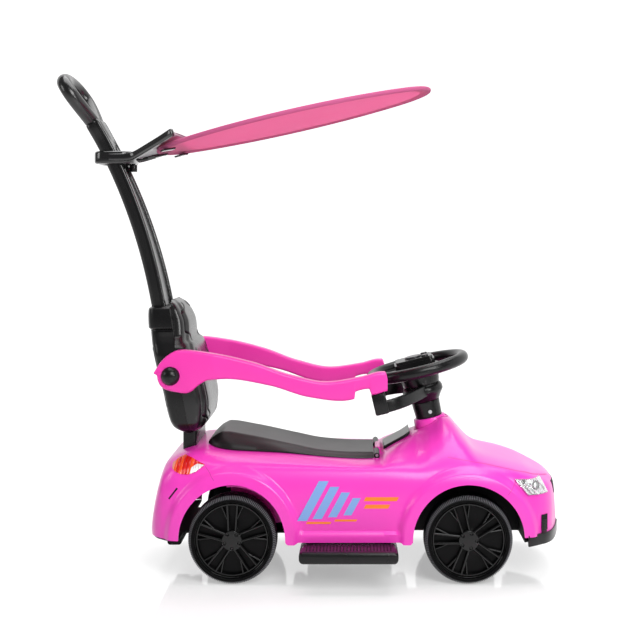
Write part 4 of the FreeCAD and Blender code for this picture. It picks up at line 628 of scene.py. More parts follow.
def slanted_bar(x0, x1, z0, z1):
    """A parallelogram on the body's side between two heights, its ends leaning forward as it rises."""
    up = np.linspace(0, 1, 12)
    along = np.linspace(0, 1, 30)[:, None]
    z = z0 + (z1 - z0) * up
    return side_patch(x0 + (x1 - x0) * along + bar_lean * (z - z0), z, 0.25)


def lamp_band(top, bottom, first, last, proud):
    """A closed strip of a lamp between shares of its top and bottom edges, ridged along its middle."""
    share = np.linspace(first, last, 9)[:, None]
    up = np.linspace(0, 1, 14)
    ends = []
    for edge in (bottom, top):
        stops = np.linspace(0, 1, len(edge))
        ends.append([np.interp(share, stops, values) for values in np.array(edge, float).T])
    (low_x, low_z), (high_x, high_z) = ends
    x = low_x + (high_x - low_x) * up
    z = low_z + (high_z - low_z) * up
    ridge = 1 - np.abs(2 * (share - first) / (last - first) - 1)
    return side_patch(x, z, proud + 0.9 * ridge)


def lamp_bands(top, bottom, count, filled, proud):
    """A lamp's strips side by side, each filling a share of its pitch."""
    return [lamp_band(top, bottom, k / count, (k + filled) / count, proud) for k in range(count)]


def lamp_dish(x, z, radius, proud, dome):
    """A round dish on the body's side: rings round (x, z), domed by a parabola."""
    turn = full_turn(40)
    r = column(0.02, 0.25, 0.5, 0.75, 0.92, 1.0) * radius
    grid_x, grid_z = x + r * np.cos(turn), z + r * np.sin(turn)
    y = side_y(grid_x, grid_z) + proud + dome * (1 - (r / radius) ** 2)
    back = grid(grid_x, y - proud - dome - 0.5, grid_z)[-1:]
    return capped(np.concatenate([grid(grid_x, y, grid_z), back]))


def nose_strip(half_length, low, high, proud, depth):
    """Strip laid across the nose: at each height, x is where the section's breadth falls to |y|."""
    across = np.linspace(-half_length, half_length, 61)
    height = np.linspace(low, high, 9)
    x = np.linspace(nose_x - 60, nose_x - 0.5, 240)
    rows = []
    for z in height:
        t = crossing(x, np.full_like(x, z), 1)
        breadth = np.where(top_line(x) > z, section(x, t[:, None])[0][:, 0], 0)
        rows.append(np.interp(np.abs(across), breadth[::-1], x[::-1]))
    face = np.array(rows).T + proud
    loop_x = np.concatenate([face, face[:, ::-1] - depth], 1)
    loop_z = np.concatenate([height, height[::-1]])
    return capped(grid(loop_x, across[:, None], loop_z))


# Painted shade: thin darker strips along the hood's crease and the panel seams; the hood's strip stands for a
# soft change in shading.
panel_line_shades = [
    side_stripe([(235, 202.7), (268, 197.5), (300, 190.5), (335, 183), (365, 175.7), (409, 160.6)], 0.8),
    side_stripe([(-163, 190), (-155, 181), (-147, 170.5)], 1.1),
    side_stripe([(345, 166), (338, 157), (330, 147)], 1.1)]
# Painted shade: a dark strip where the rear bumper's slot is cut into the body.
rear_slot_shades = [side_stripe([(-208, 156), (-215, 147), (-222, 138)], 2.6, 0.2)]
vent_bars = [side_stripe([(nose_x - 39, z), (nose_x - 29, z)], 1.3, 2.9)
             for z in lip_top_z + 5 + 2.4 * np.arange(11)]
blue_bars = [slanted_bar(-12 + 25 * k, 4 + 24 * k, 104 + 3 * k, 168 - 9 * k) for k in range(4)]
orange_bars = [slanted_bar(2 + 46 * k, 42 + 42 * k, 99 + 4 * k, 102.5 + 4 * k) for k in range(2)]
orange_bars += [slanted_bar(96, 150 - 14 * k, 136 - 12 * k, 142.5 - 12 * k) for k in range(2)]

tail_top = shifted(0, shoulder_z, (-219, 3), (-209, 11), (-199, 15), (-187, 12), (-175, 7), (-164, 2.6))
tail_bottom = shifted(0, shoulder_z, (-219, -4), (-212, -9), (-202, -12), (-191, -12.5), (-178, -8),
                      (-164, 2))
tip_top = shifted(0, shoulder_z, (-186, -1.5), (-177, 4), (-165, 2.5))
tip_bottom = shifted(0, shoulder_z, (-188, -11), (-178, -7.5), (-165, 2))
tail_bands = lamp_bands(tail_top, tail_bottom, 10, 0.98, 0.4)
pale_bands, orange_bands, red_bands = [[tail_bands[k] for k in chosen]
                                       for chosen in ((0,), (1, 3, 6), (2, 4, 5, 7, 8, 9))]
tip_bands = lamp_bands(tip_top, tip_bottom, 5, 0.94, 1.5)

lamp_top = shifted(nose_x, shoulder_z, (-84, -20), (-37, -23))
lamp_bottom = shifted(nose_x, shoulder_z, (-62, -45), (-26.5, -45))
mirror_bands = lamp_bands(lamp_top, lamp_bottom, 5, 0.94, 0.3)
lamp_cover = lamp_bands(lamp_top, lamp_bottom, 1, 1, 4.6)
main_bulb = (nose_x - 49, shoulder_z - 32)
projectors = [lamp_dish(*main_bulb, 6.5, 1.6, 0.8), lamp_dish(nose_x - 70, shoulder_z - 25, 3.4, 1.2, 0.5)]
bulbs = [lamp_dish(*main_bulb, 4.4, 2.6, 1.6)]

for name, parts, finish, slot, stands_for in (
        ("body_panel_line_shades", panel_line_shades, groove_shade_pink, "pink_gloss", ()),
        ("rear_bumper_slot_shades", rear_slot_shades, black_dull, "black_matte", ()),
        ("side_stripes_blue", blue_bars, print_blue, None, ()),
        ("side_stripes_orange", orange_bars, print_orange, None, ()),
        ("tail_light_pale", pale_bands, lamp_pale, "lamp_red", ()),
        ("tail_light_red", red_bands, lamp_red, "lamp_red", ("tail_light_lenses",)),
        ("tail_light_orange", orange_bands, lamp_orange, "lamp_red", ()),
        ("tail_light_white", tip_bands, lamp_white, "lamp_clear", ("tail_light_tips",)),
        ("headlight_mirror", mirror_bands, chrome, "lamp_reflector", ("headlight_reflectors",)),
        ("headlight_cover", lamp_cover, lamp_clear, "lamp_clear", ("headlight_lenses",)),
        ("headlight_projectors", projectors, black_gloss, "black_satin", ()),
        ("headlight_bulbs", bulbs, chrome, "lamp_reflector", ()),
        ("vent_bars", vent_bars, black, "black_satin", ())):
    piece(name, both_sides(parts), finish, "car", stands_for)
grille_half_length, grille_low, grille_high = 66, shoulder_z - 57, shoulder_z - 37
grille = nose_strip(grille_half_length, grille_low, grille_high, proud=0.8, depth=6)
piece("grille_strip", [grille], black_dull, "car", ["front_grille"], sharp=40)


# Cowl's neck and rear wheel wells

def cowl_collar():
    """Round neck of the cowl under the sleeve: a slightly flared tube about the column's axis."""
    profile = [(20, 0.1), (26.6, 0.1), (27.5, -0.5), (27.9, -1.6), (28.4, -12), (29.4, -40), (20, -40)]
    return turned(profile, column_foot, column_axis, 120)


def neck_line_shade():
    """Painted shade in the parting groove where the neck comes out of the cowl: a thin tube led along their
    crossing.
    """
    turn, ring = full_turn(120), full_turn(8)
    radius, lean_in, line_radius = 28.9, 3.2, 0.8
    x, y = column_x + lean_in + radius * np.cos(turn), radius * np.sin(turn)
    z = section(x, crossing(x, np.abs(y), 0)[:, None])[1][:, 0]
    return led(grid(x, y, z), line_radius * np.cos(ring), line_radius * np.sin(ring), True)


def wheel_liner():
    """Left rear wheel well: a part cylinder inside the arch, ahead of the tail, and its inner wall."""
    roof_radius, roof_thickness, wall_y, wall_thickness = rear_arch_radius - 1, 1.5, 86.0, 2
    first, last = math.radians(12), math.radians(96)
    turn = np.linspace(first, last, 60)[:, None]
    across = np.linspace(wall_y, half_width - 4, 12)
    wall_radii = np.array([30, 50, 70, roof_radius])
    roof = (np.repeat([roof_radius, roof_radius + roof_thickness], len(across)),
            np.concatenate([across, across[::-1]]))
    wall = (np.concatenate([wall_radii, wall_radii[::-1]]),
            np.repeat([wall_y + wall_thickness, wall_y], len(wall_radii)))
    return [capped(grid(rear_axle_x + r * np.cos(turn), y, axle_z + r * np.sin(turn)))
            for r, y in (roof, wall)]


piece("cowl_neck", [cowl_collar()], pink, "car", sharp=40)
# Painted shade: a darker pink ring along the neck's parting groove.
piece("cowl_neck_line_shade", [neck_line_shade()], groove_shade_pink, "car")
piece("rear_wheel_liners", both_sides(wheel_liner()), pink, "car")


# Seat lid

hinge_x, hinge_z, hinge_radius = seat_front_x - 5, deck_front_z + 4, 5.0
tab_end_y = 25.7            # half the length of the body's tab between the hinge barrels
lid_wall = 3.0
lid_front_x = hinge_x - hinge_radius - 0.5
lid_base_line = smooth_line(
    [(seat_rear_x, ridge_z + 1.5)] + shifted(seat_rear_x, deck_rear_z, (8, 4.6), (16, 3), (32, 1.2))
    + [(-38, deck_rear_z - 4.4)] + shifted(0, deck_front_z, (52, 2.6), (97, 0.6), (seat_front_x, 1.6)))
lid_top_line = smooth_line(
    [(seat_rear_x, ridge_z + 5)]
    + shifted(seat_rear_x, deck_rear_z, (4, 14), (14, 22), (27, 27.5), (68, 21.5))
    + [(-20, deck_rear_z + 5)] + shifted(0, deck_front_z, (26, 11), (74, 7.5), (seat_front_x, 7)))
lid_width_line = smooth_line(
    shifted(seat_rear_x, seat_half_width, (0, -27), (8, -16), (22, -6), (45, 0))
    + shifted(0, seat_half_width, (40, 0), (seat_front_x, -3)))
crest_half_width = 60.0
seat_dip = 1.6              # of the seat's middle below its crests


def lid_rows(x, inset):
    """Rings over the seat lid at stations x: side face, a tight crest, and a top that dips in the middle."""
    base, top = lid_base_line(x)[:, None], lid_top_line(x)[:, None] - inset
    wide = lid_width_line(x)[:, None] - inset
    crest = np.minimum(wide - 4, crest_half_width - inset)
    rise = top - base
    dip = seat_dip * ease((x - seat_rear_x - 10) / 40)[:, None]
    half = [(wide, 0 * rise), (wide - 0.4, 0.18 * rise), (0.75 * wide + 0.25 * crest, 0.42 * rise),
            (0.4 * wide + 0.6 * crest, 0.72 * rise), (crest + 1.8, rise - np.minimum(2.2, 0.2 * rise)),
            (crest + 0.2, rise - np.minimum(0.7, 0.1 * rise)), (crest - 2.0, rise - 0.1),
            (crest - 6, rise - 0.15)]
    half += [(share * crest, rise - dip * (1 - share ** 2)) for share in (0.75, 0.5, 0.25)]
    across = np.concatenate([p[0] for p in half] + [0 * wide] + [-p[0] for p in reversed(half)], 1)
    height = np.concatenate([p[1] for p in half] + [rise - dip] + [p[1] for p in reversed(half)], 1)
    return grid(x[:, None], -across, base + height)


def seat_form():
    """Hollow lid: outer and inner rings joined along the lower edges and the ends, with two hinge barrels."""
    x = np.concatenate([seat_rear_x + np.array([0, 1, 2, 3.5, 5]),
                        np.linspace(seat_rear_x + 7, lid_front_x, 110)])
    outer = lid_rows(x, 0)
    inner = lid_rows(x + np.linspace(lid_wall, -lid_wall, len(x)), lid_wall)
    rings = np.concatenate([outer, inner[:, ::-1]], 1)
    ends = [lattice(np.stack([outer[k], inner[k]])) for k in (0, -1)]
    bore, start, end, rounding = 2.6, tab_end_y + 0.6, 76.0, 0.6
    barrel = [(bore, start), (hinge_radius - rounding, start), (hinge_radius, start + rounding),
              (hinge_radius, end - rounding), (hinge_radius - rounding, end), (bore, end)]
    tube = [turned(barrel, np.array([hinge_x, 0, hinge_z]), ACROSS, 40)]
    return [lattice(rings, close_columns=True)] + ends + both_sides(tube)


def hinge_tab():
    """Pink knuckle of the body between the hinge barrels, with rounded ends."""
    rounding = 0.7
    y = column(-tab_end_y, rounding - tab_end_y, tab_end_y - rounding, tab_end_y)
    less = column(rounding, 0, 0, rounding)
    return cross_bar(hinge_x + 2.4, y, hinge_z - 0.6, 4.9, 6.4, 4.0 - less, less)


piece("seat_form", seat_form(), seat_black, "seat", ["seat_lid"], sharp=40)
piece("hinge_tab", [hinge_tab()], pink, "car")


# Wheels

recess_radius = 62.0
disc_face = wheel_outer - 14
tread_teeth = 150
tooth_depth = 1.5
spoke_pairs = 5
cover_turns = {"rear": 0.0, "front": 56.0}      # degrees each cover is turned as it stands


def tyre_profile(band):
    """Closed outline of the tyre, (radius, across): hub's bore, inner face, tread, outer face."""
    return np.array(
        shifted(0, wheel_inner, (5.2, 2), (16.5, 2), (18, 3.5), (18, 24), (19.5, 26), (40, 26), (62, 26),
                (64.5, 24.5), (65.5, 22), (65.5, 2), (66.3, 0.3), (68, 0))
        + shifted(wheel_radius, wheel_inner, (-3.2, 0.6), (-1.6, 2.2), (-0.6, 5), (0, 9), (0, 18), (0, 28))
        + shifted(wheel_radius, wheel_outer, (-0.3, -10), (-1.0, -6.8), (-0.24 * band, -3.6),
                  (-0.44 * band, -1.4), (-0.60 * band, -0.3), (-0.68 * band, 0), (-0.73 * band, -0.9),
                  (-0.81 * band, -0.9), (-0.86 * band, 0))
        + shifted(recess_radius, wheel_outer, (0.9, 0), (0, -0.9))
        + shifted(recess_radius, disc_face, (0, 1), (-1, 0))
        + shifted(0, disc_face, (40, 0), (18, 0), (15, 1.5), (14.6, 5), (14, 6), (5.2, 6)))


def tyre(axle_x):
    """Left tyre: a closed profile turned about the axle, with square notches cut across the tread."""
    band = wheel_radius - recess_radius
    along_radius, along_axle = tyre_profile(band).T
    on_tread = (along_radius > wheel_radius - 0.5 * band) & (along_axle > wheel_inner + 4)
    count = 4 * tread_teeth
    notch = tooth_depth * (np.arange(count) % 4 >= 2)[:, None]
    turn = full_turn(count)[:, None]
    radius = along_radius - notch * on_tread
    across = along_axle - notch * (on_tread & (along_axle > wheel_outer - 8))
    points = grid(axle_x + radius * np.sin(turn), across, axle_z + radius * np.cos(turn))
    return lattice(points, close_rows=True, close_columns=True)


def mark_tooth_highlights(made, axle_x):
    """Attribute for the painted highlight on the outer shoulder's teeth: 1 on the teeth, 0 elsewhere, from
    each point's angle.
    """
    x, y, z = mesh_points(made).T / MM
    radius = np.hypot(x - axle_x, z - axle_z)
    on_tooth = np.sin(tread_teeth * np.arctan2(x - axle_x, z - axle_z) + np.pi / 4) > 0
    on_shoulder = (radius > wheel_radius - 5.5) & (np.abs(y) > wheel_outer - 9)
    mark = (on_tooth & on_shoulder).astype(float)
    made.data.attributes.new("tooth_highlight", "FLOAT", "POINT").data.foreach_set("value", mark)


def rib(axle_x, angle, start, end, width, heights):
    """One rib of a cover, from (offset, radius) start to end: rounded top edges, falling height."""
    outline = np.array([(-0.5, 0), (-0.5, 0.6), (-0.42, 0.84), (-0.24, 0.97), (0, 1), (0.24, 0.97),
                        (0.42, 0.84), (0.5, 0.6), (0.5, 0)])
    share = np.linspace(0, 1, 5)[:, None]
    sunk = 0.2              # into the disc
    offset = start[0] + (end[0] - start[0]) * share + width * outline[:, 0]
    radius = start[1] + (end[1] - start[1]) * share
    rise = heights[0] + (heights[1] - heights[0]) * share
    y = disc_face - sunk + (rise + sunk) * outline[:, 1]
    x = axle_x + offset * math.cos(angle) + radius * math.sin(angle)
    z = axle_z - offset * math.sin(angle) + radius * math.cos(angle)
    return capped(grid(x, y, z))


def hub_cap(axle_x, turn):
    """Low dome with five round lug sinks, as heights over a polar grid, closed by its wall and back."""
    hub_radius, lug_circle, lug_radius, lug_edge, sink, rise = 16.5, 12.6, 2.5, 0.9, 2.4, 0.8
    r = np.concatenate([np.linspace(0, hub_radius - 0.6, 27), [hub_radius - 0.2, hub_radius, hub_radius, 0]])
    angle = full_turn(120)[:, None]
    pitch = 2 * np.pi / spoke_pairs
    local = np.mod(angle, pitch) - pitch / 2
    distance = np.hypot(r * np.cos(local) - lug_circle, r * np.sin(local))
    dome = rise * (1 - (r / hub_radius) ** 2) - rise / 2
    top = wheel_outer + dome - sink * ease((lug_radius - distance) / lug_edge + 0.5)
    top[:, -4:] = wheel_outer - np.array([0.9, 1.7, 13, 13])
    around = angle + math.radians(turn)
    points = grid(axle_x + r * np.sin(around), top, axle_z + r * np.cos(around))
    return lattice(points, close_rows=True)


def cover(axle_x, turn):
    """Left spoked cover: double ring, domed hub, and pairs of ribs that each fork towards the rim."""
    ring = shifted(0, disc_face, (55.8, -0.2), (55.8, 7.2), (56.6, 8.3), (58.2, 8.4), (58.8, 7.4),
                   (59.4, 8.2), (60.0, 10.2), (60.8, 10.8), (61.5, 10.6), (61.9, 9.6), (61.9, -0.2))
    parts = [hub_cap(axle_x, turn), turned(ring, np.array([axle_x, 0, axle_z]), ACROSS, 160)]
    for k in range(spoke_pairs):
        angle = math.radians(turn) + 2 * math.pi * k / spoke_pairs
        for side in (1, -1):
            parts.append(rib(axle_x, angle, (side * 5.6, 12), (side * 8.2, 58), 5.0, (11.4, 8.4)))
            parts.append(rib(axle_x, angle, (side * 6.2, 30), (side * 18.2, 56.6), 4.2, (9.0, 7.6)))
    return parts


for end, axle_x in (("rear", rear_axle_x), ("front", front_axle_x)):
    for side in SIDES:
        corner = end + "_" + side
        made = piece("tyre_" + corner, on_side(side, [tyre(axle_x)]), tyre_black, "wheel_" + corner,
                     ["wheel_" + corner])
        # Marks where the tyre's finish paints the teeth's highlight.
        mark_tooth_highlights(made, axle_x)
        piece("spokes_" + corner, on_side(side, cover(axle_x, cover_turns[end])), rim_black,
              "wheel_" + corner, ["wheel_cover_" + corner], sharp=50)


# Canopy

canopy_length = 490.0
canopy_width = 345.0
canopy_end_radius = 135.0
canopy_tilt = math.radians(12.9)
canopy_rear = np.array([-263.0, 0.0, 712.0])
canopy_sag = 6.0
pull_count = 22             # faint waves of the cloth near its hem
pull_height = 2.0
hem_radius = 4.0
stitch_pitch = 5.0
stitch_half_length = 1.7
thread_radius = 0.42


def canopy_place(u, v, w):
    """World points from the canopy's own plane: u along it from the rear end, v across, w up."""
    lean_x, lean_z = math.cos(canopy_tilt), math.sin(canopy_tilt)
    x = canopy_rear[0] + u * lean_x - w * lean_z
    return grid(x, v, canopy_rear[2] + u * lean_z + w * lean_x)


def rim(angle, inset):
    """Point of the canopy's oval whose outward normal has this angle: two end arcs and two side arcs."""
    a, b, r1 = canopy_length / 2, canopy_width / 2, canopy_end_radius
    r2 = ((a - r1) ** 2 + b ** 2 - r1 ** 2) / (2 * (b - r1))
    on_end = np.abs(np.cos(angle)) > math.cos(math.atan2(r2 - b, a - r1))
    middle_u = np.where(on_end, np.sign(np.cos(angle)) * (a - r1), 0)
    middle_v = np.where(on_end, 0, -np.sign(np.sin(angle)) * (r2 - b))
    radius = np.where(on_end, r1, r2) - inset
    return a + middle_u + radius * np.cos(angle), middle_v + radius * np.sin(angle)


def rim_angles(count):
    """Normal angles at even steps along the oval, and the oval's length."""
    fine = np.linspace(0, 2 * np.pi, 4001)
    u, v = rim(fine, hem_radius)
    run = np.concatenate([[0], np.cumsum(np.hypot(np.diff(u), np.diff(v)))])
    return np.interp(np.linspace(0, run[-1], count, endpoint=False), run, fine), run[-1]


def canopy_cloth():
    """Stretched cloth: rings from the middle out to the hem, sagging by a parabola, with pulls at the rim.

    The rings run out along the underside and back along the top, so that the sheet closes.
    """
    angle = rim_angles(180)[0]
    share = np.linspace(0, 1, 46)[:, None]
    edge_u, edge_v = rim(angle, hem_radius + 5)
    middle = canopy_length / 2
    u, v = middle + share * (edge_u - middle), share * edge_v
    pull = pull_height * np.sin(pull_count * angle) * ease((share - 0.72) / 0.2) * (1 - share)
    height = pull - canopy_sag * (1 - share ** 2)
    half_thickness = 0.4
    under, over = [canopy_place(u, v, height + side * half_thickness) for side in (-1, 1)]
    return lattice(np.concatenate([under, over[::-1]]), close_columns=True)


def hem():
    """Folded hem: a flat band that swells to a round edge over the wire, carried round the oval."""
    half = np.array([(16, 1.1), (12, 1.2), (8, 1.4), (5.4, 2.1), (3.2, 3.2), (1.4, 3.8), (-0.6, 4),
                     (-2.5, 3.2), (-3.7, 1.6)])
    inward = np.concatenate([half[:, 0], [-hem_radius], half[::-1, 0]])
    up = np.concatenate([-half[:, 1], [0], half[::-1, 1]])
    count, wrinkle = 300, 6
    u, v = rim(rim_angles(count)[0][:, None], hem_radius + inward)
    ripple = 0.18 * np.sin(2 * np.pi * np.arange(count) / wrinkle)[:, None] * (inward > 5)
    return lattice(canopy_place(u, v, up * (1 + ripple)), close_rows=True, close_columns=True)


def stitches():
    """Two rows of short threads on the hem's top and underside, each a six-sided spindle lying along it."""
    angle = rim_angles(int(rim_angles(1)[1] / stitch_pitch))[0]
    out_u, out_v = np.cos(angle)[:, None, None], np.sin(angle)[:, None, None]
    along, turn = np.linspace(-1, 1, 5)[:, None], full_turn(6)
    shift = stitch_half_length * along
    thick = thread_radius * np.sqrt(np.maximum(1 - along ** 2, 0.02))
    parts = []
    for inset, lift in ((7.0, 1.35), (13.5, 1.15)):
        u, v = [place[:, None, None] for place in rim(angle, hem_radius + inset)]
        grid_u = u - shift * out_v + thick * np.cos(turn) * out_u
        grid_v = v + shift * out_u + thick * np.cos(turn) * out_v
        for side in (1, -1):
            spindles = canopy_place(grid_u, grid_v, side * lift + thick * np.sin(turn))
            parts += [capped(spindle) for spindle in spindles]
    return parts


def cloth_map(made):
    """UV map in metres along and across the canopy, for the weave."""
    points = mesh_points(made)
    loops = np.empty(len(made.data.loops), int)
    made.data.loops.foreach_get("vertex_index", loops)
    flat = np.stack([points[:, 0] / math.cos(canopy_tilt), points[:, 1]], -1)[loops]
    made.data.uv_layers.new(name="cloth").data.foreach_set("uv", flat.ravel())


canopy = piece("canopy_cloth", [canopy_cloth()], cloth, "car", ["canopy_fabric"])
# Painted shade: hem and stitches take the darker copy of the cloth.
canopy_hem = piece("canopy_hem", [hem()], hem_cloth_painted_shade, "car")
canopy_stitches = piece("canopy_stitches", stitches(), hem_cloth_painted_shade, "car")
for made in (canopy, canopy_hem, canopy_stitches):
    cloth_map(made)


# Canopy bracket

clamp_low = cad_size("canopy_bracket")[0]
clamp_height = 22.0
clamp_wall = 5.0            # half the band's thickness
clamp_half_length = 34.5
clamp_half_width = 40.0
clamp_middle = np.array([clamp_low[0] + clamp_half_length, 0, clamp_low[2] + clamp_height / 2])
fan_front = np.array([-217.0, 118.0, 735.0])    # front corner of the fan plate
fan_rear = np.array([-305.0, 38.0, 703.0])
fan_reach = fan_front - fan_rear
fan_bow = 8.0               # of the plate's front edge, forward in the middle


def clamp_ring():
    """Band round the handle: a rounded section led round a rounded rectangle."""
    x, y = rounded_loop(clamp_half_length - clamp_wall, clamp_half_width - clamp_wall, 16.0)
    across, up = rounded_loop(clamp_wall, clamp_height / 2, 4.2)
    return led(clamp_middle + grid(x, y, 0), across, up, True)


def fan_arm():
    """Left arm: a rounded bar that leaves the ring, sweeps out and up, and ends round."""
    poles = np.array([(-340, 36, 702), (-318, 37, 702), (-302, 37, 702.5), (-288, 48, 708), (-262, 76, 719),
                      (-240, 99, 728), (-226, 112, 735), fan_front + (-3, -1, 3), fan_front + (0, 0, 4)])
    t = np.linspace(0, 1, 50)
    end = np.sqrt(np.clip((1 - t) / 0.035, 0, 1))[:, None]
    across, up = rounded_loop(0.4 + 4.6 * end, 0.4 + 6.2 * end, 0.3 + 3.4 * end)
    return led(spline_weights(len(poles), t) @ poles, across, up)


def fan_plate():
    """Thin plate between the arms, widening and rising to a front edge that bows forward."""
    share = np.linspace(0, 1, 24)[:, None]
    across = np.linspace(-1, 1, 40)
    x = fan_rear[0] + (fan_reach[0] + fan_bow * (1 - across ** 2)) * share
    y = (fan_rear[1] + fan_reach[1] * share) * across
    z = fan_rear[2] - 0.5 + fan_reach[2] * share
    thickness = 4.0
    low = grid(x, y, z)
    return capped(np.concatenate([low, low[:, ::-1] + thickness * UP], 1))


def plate_slot_shade(share, across):
    """Painted shade of a short slot in the plate's underside, at a share of its length and half-width: a
    flush dark bar.
    """
    x, y, z = fan_rear + fan_reach * share
    rows = column(-7.0, 7.0)
    wide, high = rounded_loop(2.0, 0.6, 0.4)
    return capped(grid(x + wide, across * y + rows, z - 0.6 + high + 0.36 * wide))


def canopy_clip(degrees):
    """Clip under the hem at one angle of the oval: a rounded saddle that reaches back to the fan plate."""
    angle = math.radians(degrees)
    u, v = rim(np.array(math.pi + angle), hem_radius)
    reach = np.linspace(-9, 13, 8)[:, None]
    wide, high = rounded_loop(7.0, 1.6, 1.2)
    grid_u = u + reach * math.cos(angle) + wide * math.sin(angle)
    grid_v = v + reach * math.sin(angle) - wide * math.cos(angle)
    return capped(canopy_place(grid_u, grid_v, high - hem_radius - 2.2))


# Painted reflection: the plate is coloured light grey in place of the white mirrored in its black gloss.
piece("canopy_plate", [fan_plate()], plate_painted_reflection, "car")
clips = [canopy_clip(degrees) for degrees in (-35, 0, 35)]
piece("canopy_bracket_form", [clamp_ring()] + both_sides([fan_arm()]) + clips, black_gloss, "car",
      ["canopy_bracket"], sharp=50)
slot_rows = ((0.35, (-0.35, 0.35)), (0.62, (-0.45, 0.0, 0.45)), (0.82, (-0.62, 0.62)))
plate_slot_shades = [plate_slot_shade(share, across) for share, row in slot_rows for across in row]
# Painted shade: dark flush bars where the plate's slots are open and shaded.
piece("canopy_bracket_slot_shades", plate_slot_shades, black_dull, "car")


# Push handle

handle_foot = np.array([-255.0, 0.0, 450.0])
handle_lean = math.radians(10.5)
handle_radius = 952.0
handle_plug = 42.0
handle_length = 437.0
neck_station = handle_length - 137
handle_depth = 25.0
channel_depth = 4.5
grip_tube = 25.0
grip_half_width = 67.0
grip_half_length = 47.5
handle_width_line = smooth_line([(-handle_plug, 94), (0, 92), (0.45 * neck_station, 78), (neck_station, 62),
                                 (neck_station + 28, 66), (neck_station + 40, 60)])


def bend(s):
    """Centre line of the handle at distances s along its bend, and the direction square to it, ahead."""
    lean = handle_lean + np.maximum(s, 0) / handle_radius
    below = np.minimum(s, 0)
    start_x, start_z = math.cos(handle_lean), math.sin(handle_lean)
    x = handle_foot[0] + handle_radius * (np.cos(lean) - start_x) - below * start_z
    z = handle_foot[2] + handle_radius * (np.sin(lean) - start_z) + below * start_x
    return grid(x, 0, z), grid(np.cos(lean), 0, np.sin(lean))


def blade():
    """Slab along the bend: rounded back, a thin groove along each side, a channel between front rims."""
    s = np.concatenate([np.linspace(-handle_plug, neck_station + 34, 90),
                        neck_station + np.array([37, 39, 40])])
    close = np.array([0] * 90 + [2, 5, 9])
    wide = (handle_width_line(s) / 2 - close)[:, None]
    deep = (handle_depth / 2 - 0.6 * close)[:, None]
    channel = (channel_depth * ease((s + 40) / 30) * ease((neck_station + 2 - s) / 30))[:, None]
    turn = np.linspace(-np.pi / 2, 0, 7)
    corner, border = 8.0, 9.0
    across = [0 * wide, wide - corner + corner * np.cos(turn)]
    ahead = [-deep, -deep + corner + corner * np.sin(turn)]
    for inward, back in ((0, 7.0), (1.1, 6.4), (1.1, 5.2), (0, 4.6), (0, 2.4), (0.7, 0.7), (2.4, 0),
                         (border, 0), (border + 1, 0.6)):
        across.append(wide - inward)
        ahead.append(deep - back)
    across += [wide - border - 1.8, 0 * wide]
    ahead += [deep - channel, deep - channel]
    across, ahead = np.concatenate(across, 1), np.concatenate(ahead, 1)
    across = np.concatenate([across, -across[:, -2:0:-1]], 1)
    ahead = np.concatenate([ahead, ahead[:, -2:0:-1]], 1)
    centre, forward = bend(s)
    return capped(centre[:, None] + across[..., None] * ACROSS + ahead[..., None] * forward[:, None])


def grip_loop():
    """Round tube led along a closed teardrop that lies in the handle's bend."""
    side, half = grip_half_width - grip_tube / 2, grip_half_length
    right = [(0.5 * side, -0.6 * half), (side, 0.16 * half), (0.8 * side, 0.78 * half)]
    outline = [(0, -half)] + right + [(0, half)] + [(-y, u) for y, u in reversed(right)]
    line = closed_curve(outline, 120)
    centre, forward = bend(handle_length - grip_tube / 2 - half + line[:, 1])
    ring = full_turn(28)
    return led(centre + line[:, :1] * ACROSS, grip_tube / 2 * np.cos(ring), grip_tube / 2 * np.sin(ring),
               True, forward)


piece("push_handle_form", [blade(), grip_loop()], handle_black, "car",
      ["push_handle"], sharp=50)


# Backrest

back_low = 235.0
rear_top, front_top = 447.0, 458.0
back_half_width = 104.0
shell_fullness = 6.0        # of the rear half's superellipses
pad_fullness = 5.0          # and of the front half's
pad_margin, pad_slope = 15.0, 10.0      # a pad's edge from the half's side, and its slope's width
groove_bend, groove_turn = 14.0, 26.0   # where a groove turns inward at its ends: height and width
groove_fade = 6.0           # height over which it runs out
parting_line = smooth_line([(back_low, -193), (front_top, -232)])
back_rear_line = smooth_line(
    shifted(back_low, 0, (0, -206), (6, -217), (14, -226))
    + [(272, -234), (305, -241), (353, -254), (376, -259), (400, -264), (409, -266), (412, -269), (436, -270)]
    + shifted(rear_top, 0, (-3, -269), (0, -265)))
back_front_line = smooth_line(
    shifted(back_low, 0, (0, -188), (8, -176), (22, -167))
    + [(284, -164), (310, -168), (340, -177), (364, -184), (380, -189), (386, -192), (390, -197), (394, -199),
       (419, -201.5)]
    + shifted(front_top, 0, (-20, -209), (-7, -218), (0, -230)))
low_widths = shifted(back_low, 0, (0, 74), (10, 92), (24, 101)) + [(300, back_half_width)]
rear_width_line = smooth_line(
    low_widths + [(366, back_half_width), (384, 98), (396, 90), (405, 83), (409, 80), (412, 84)]
    + shifted(rear_top, 0, (-3, 81), (0, 76)))
front_width_line = smooth_line(
    low_widths + [(360, back_half_width), (378, 98), (390, 86), (400, 76), (420, 70)]
    + shifted(front_top, 0, (-18, 66), (-6, 59), (0, 44)))


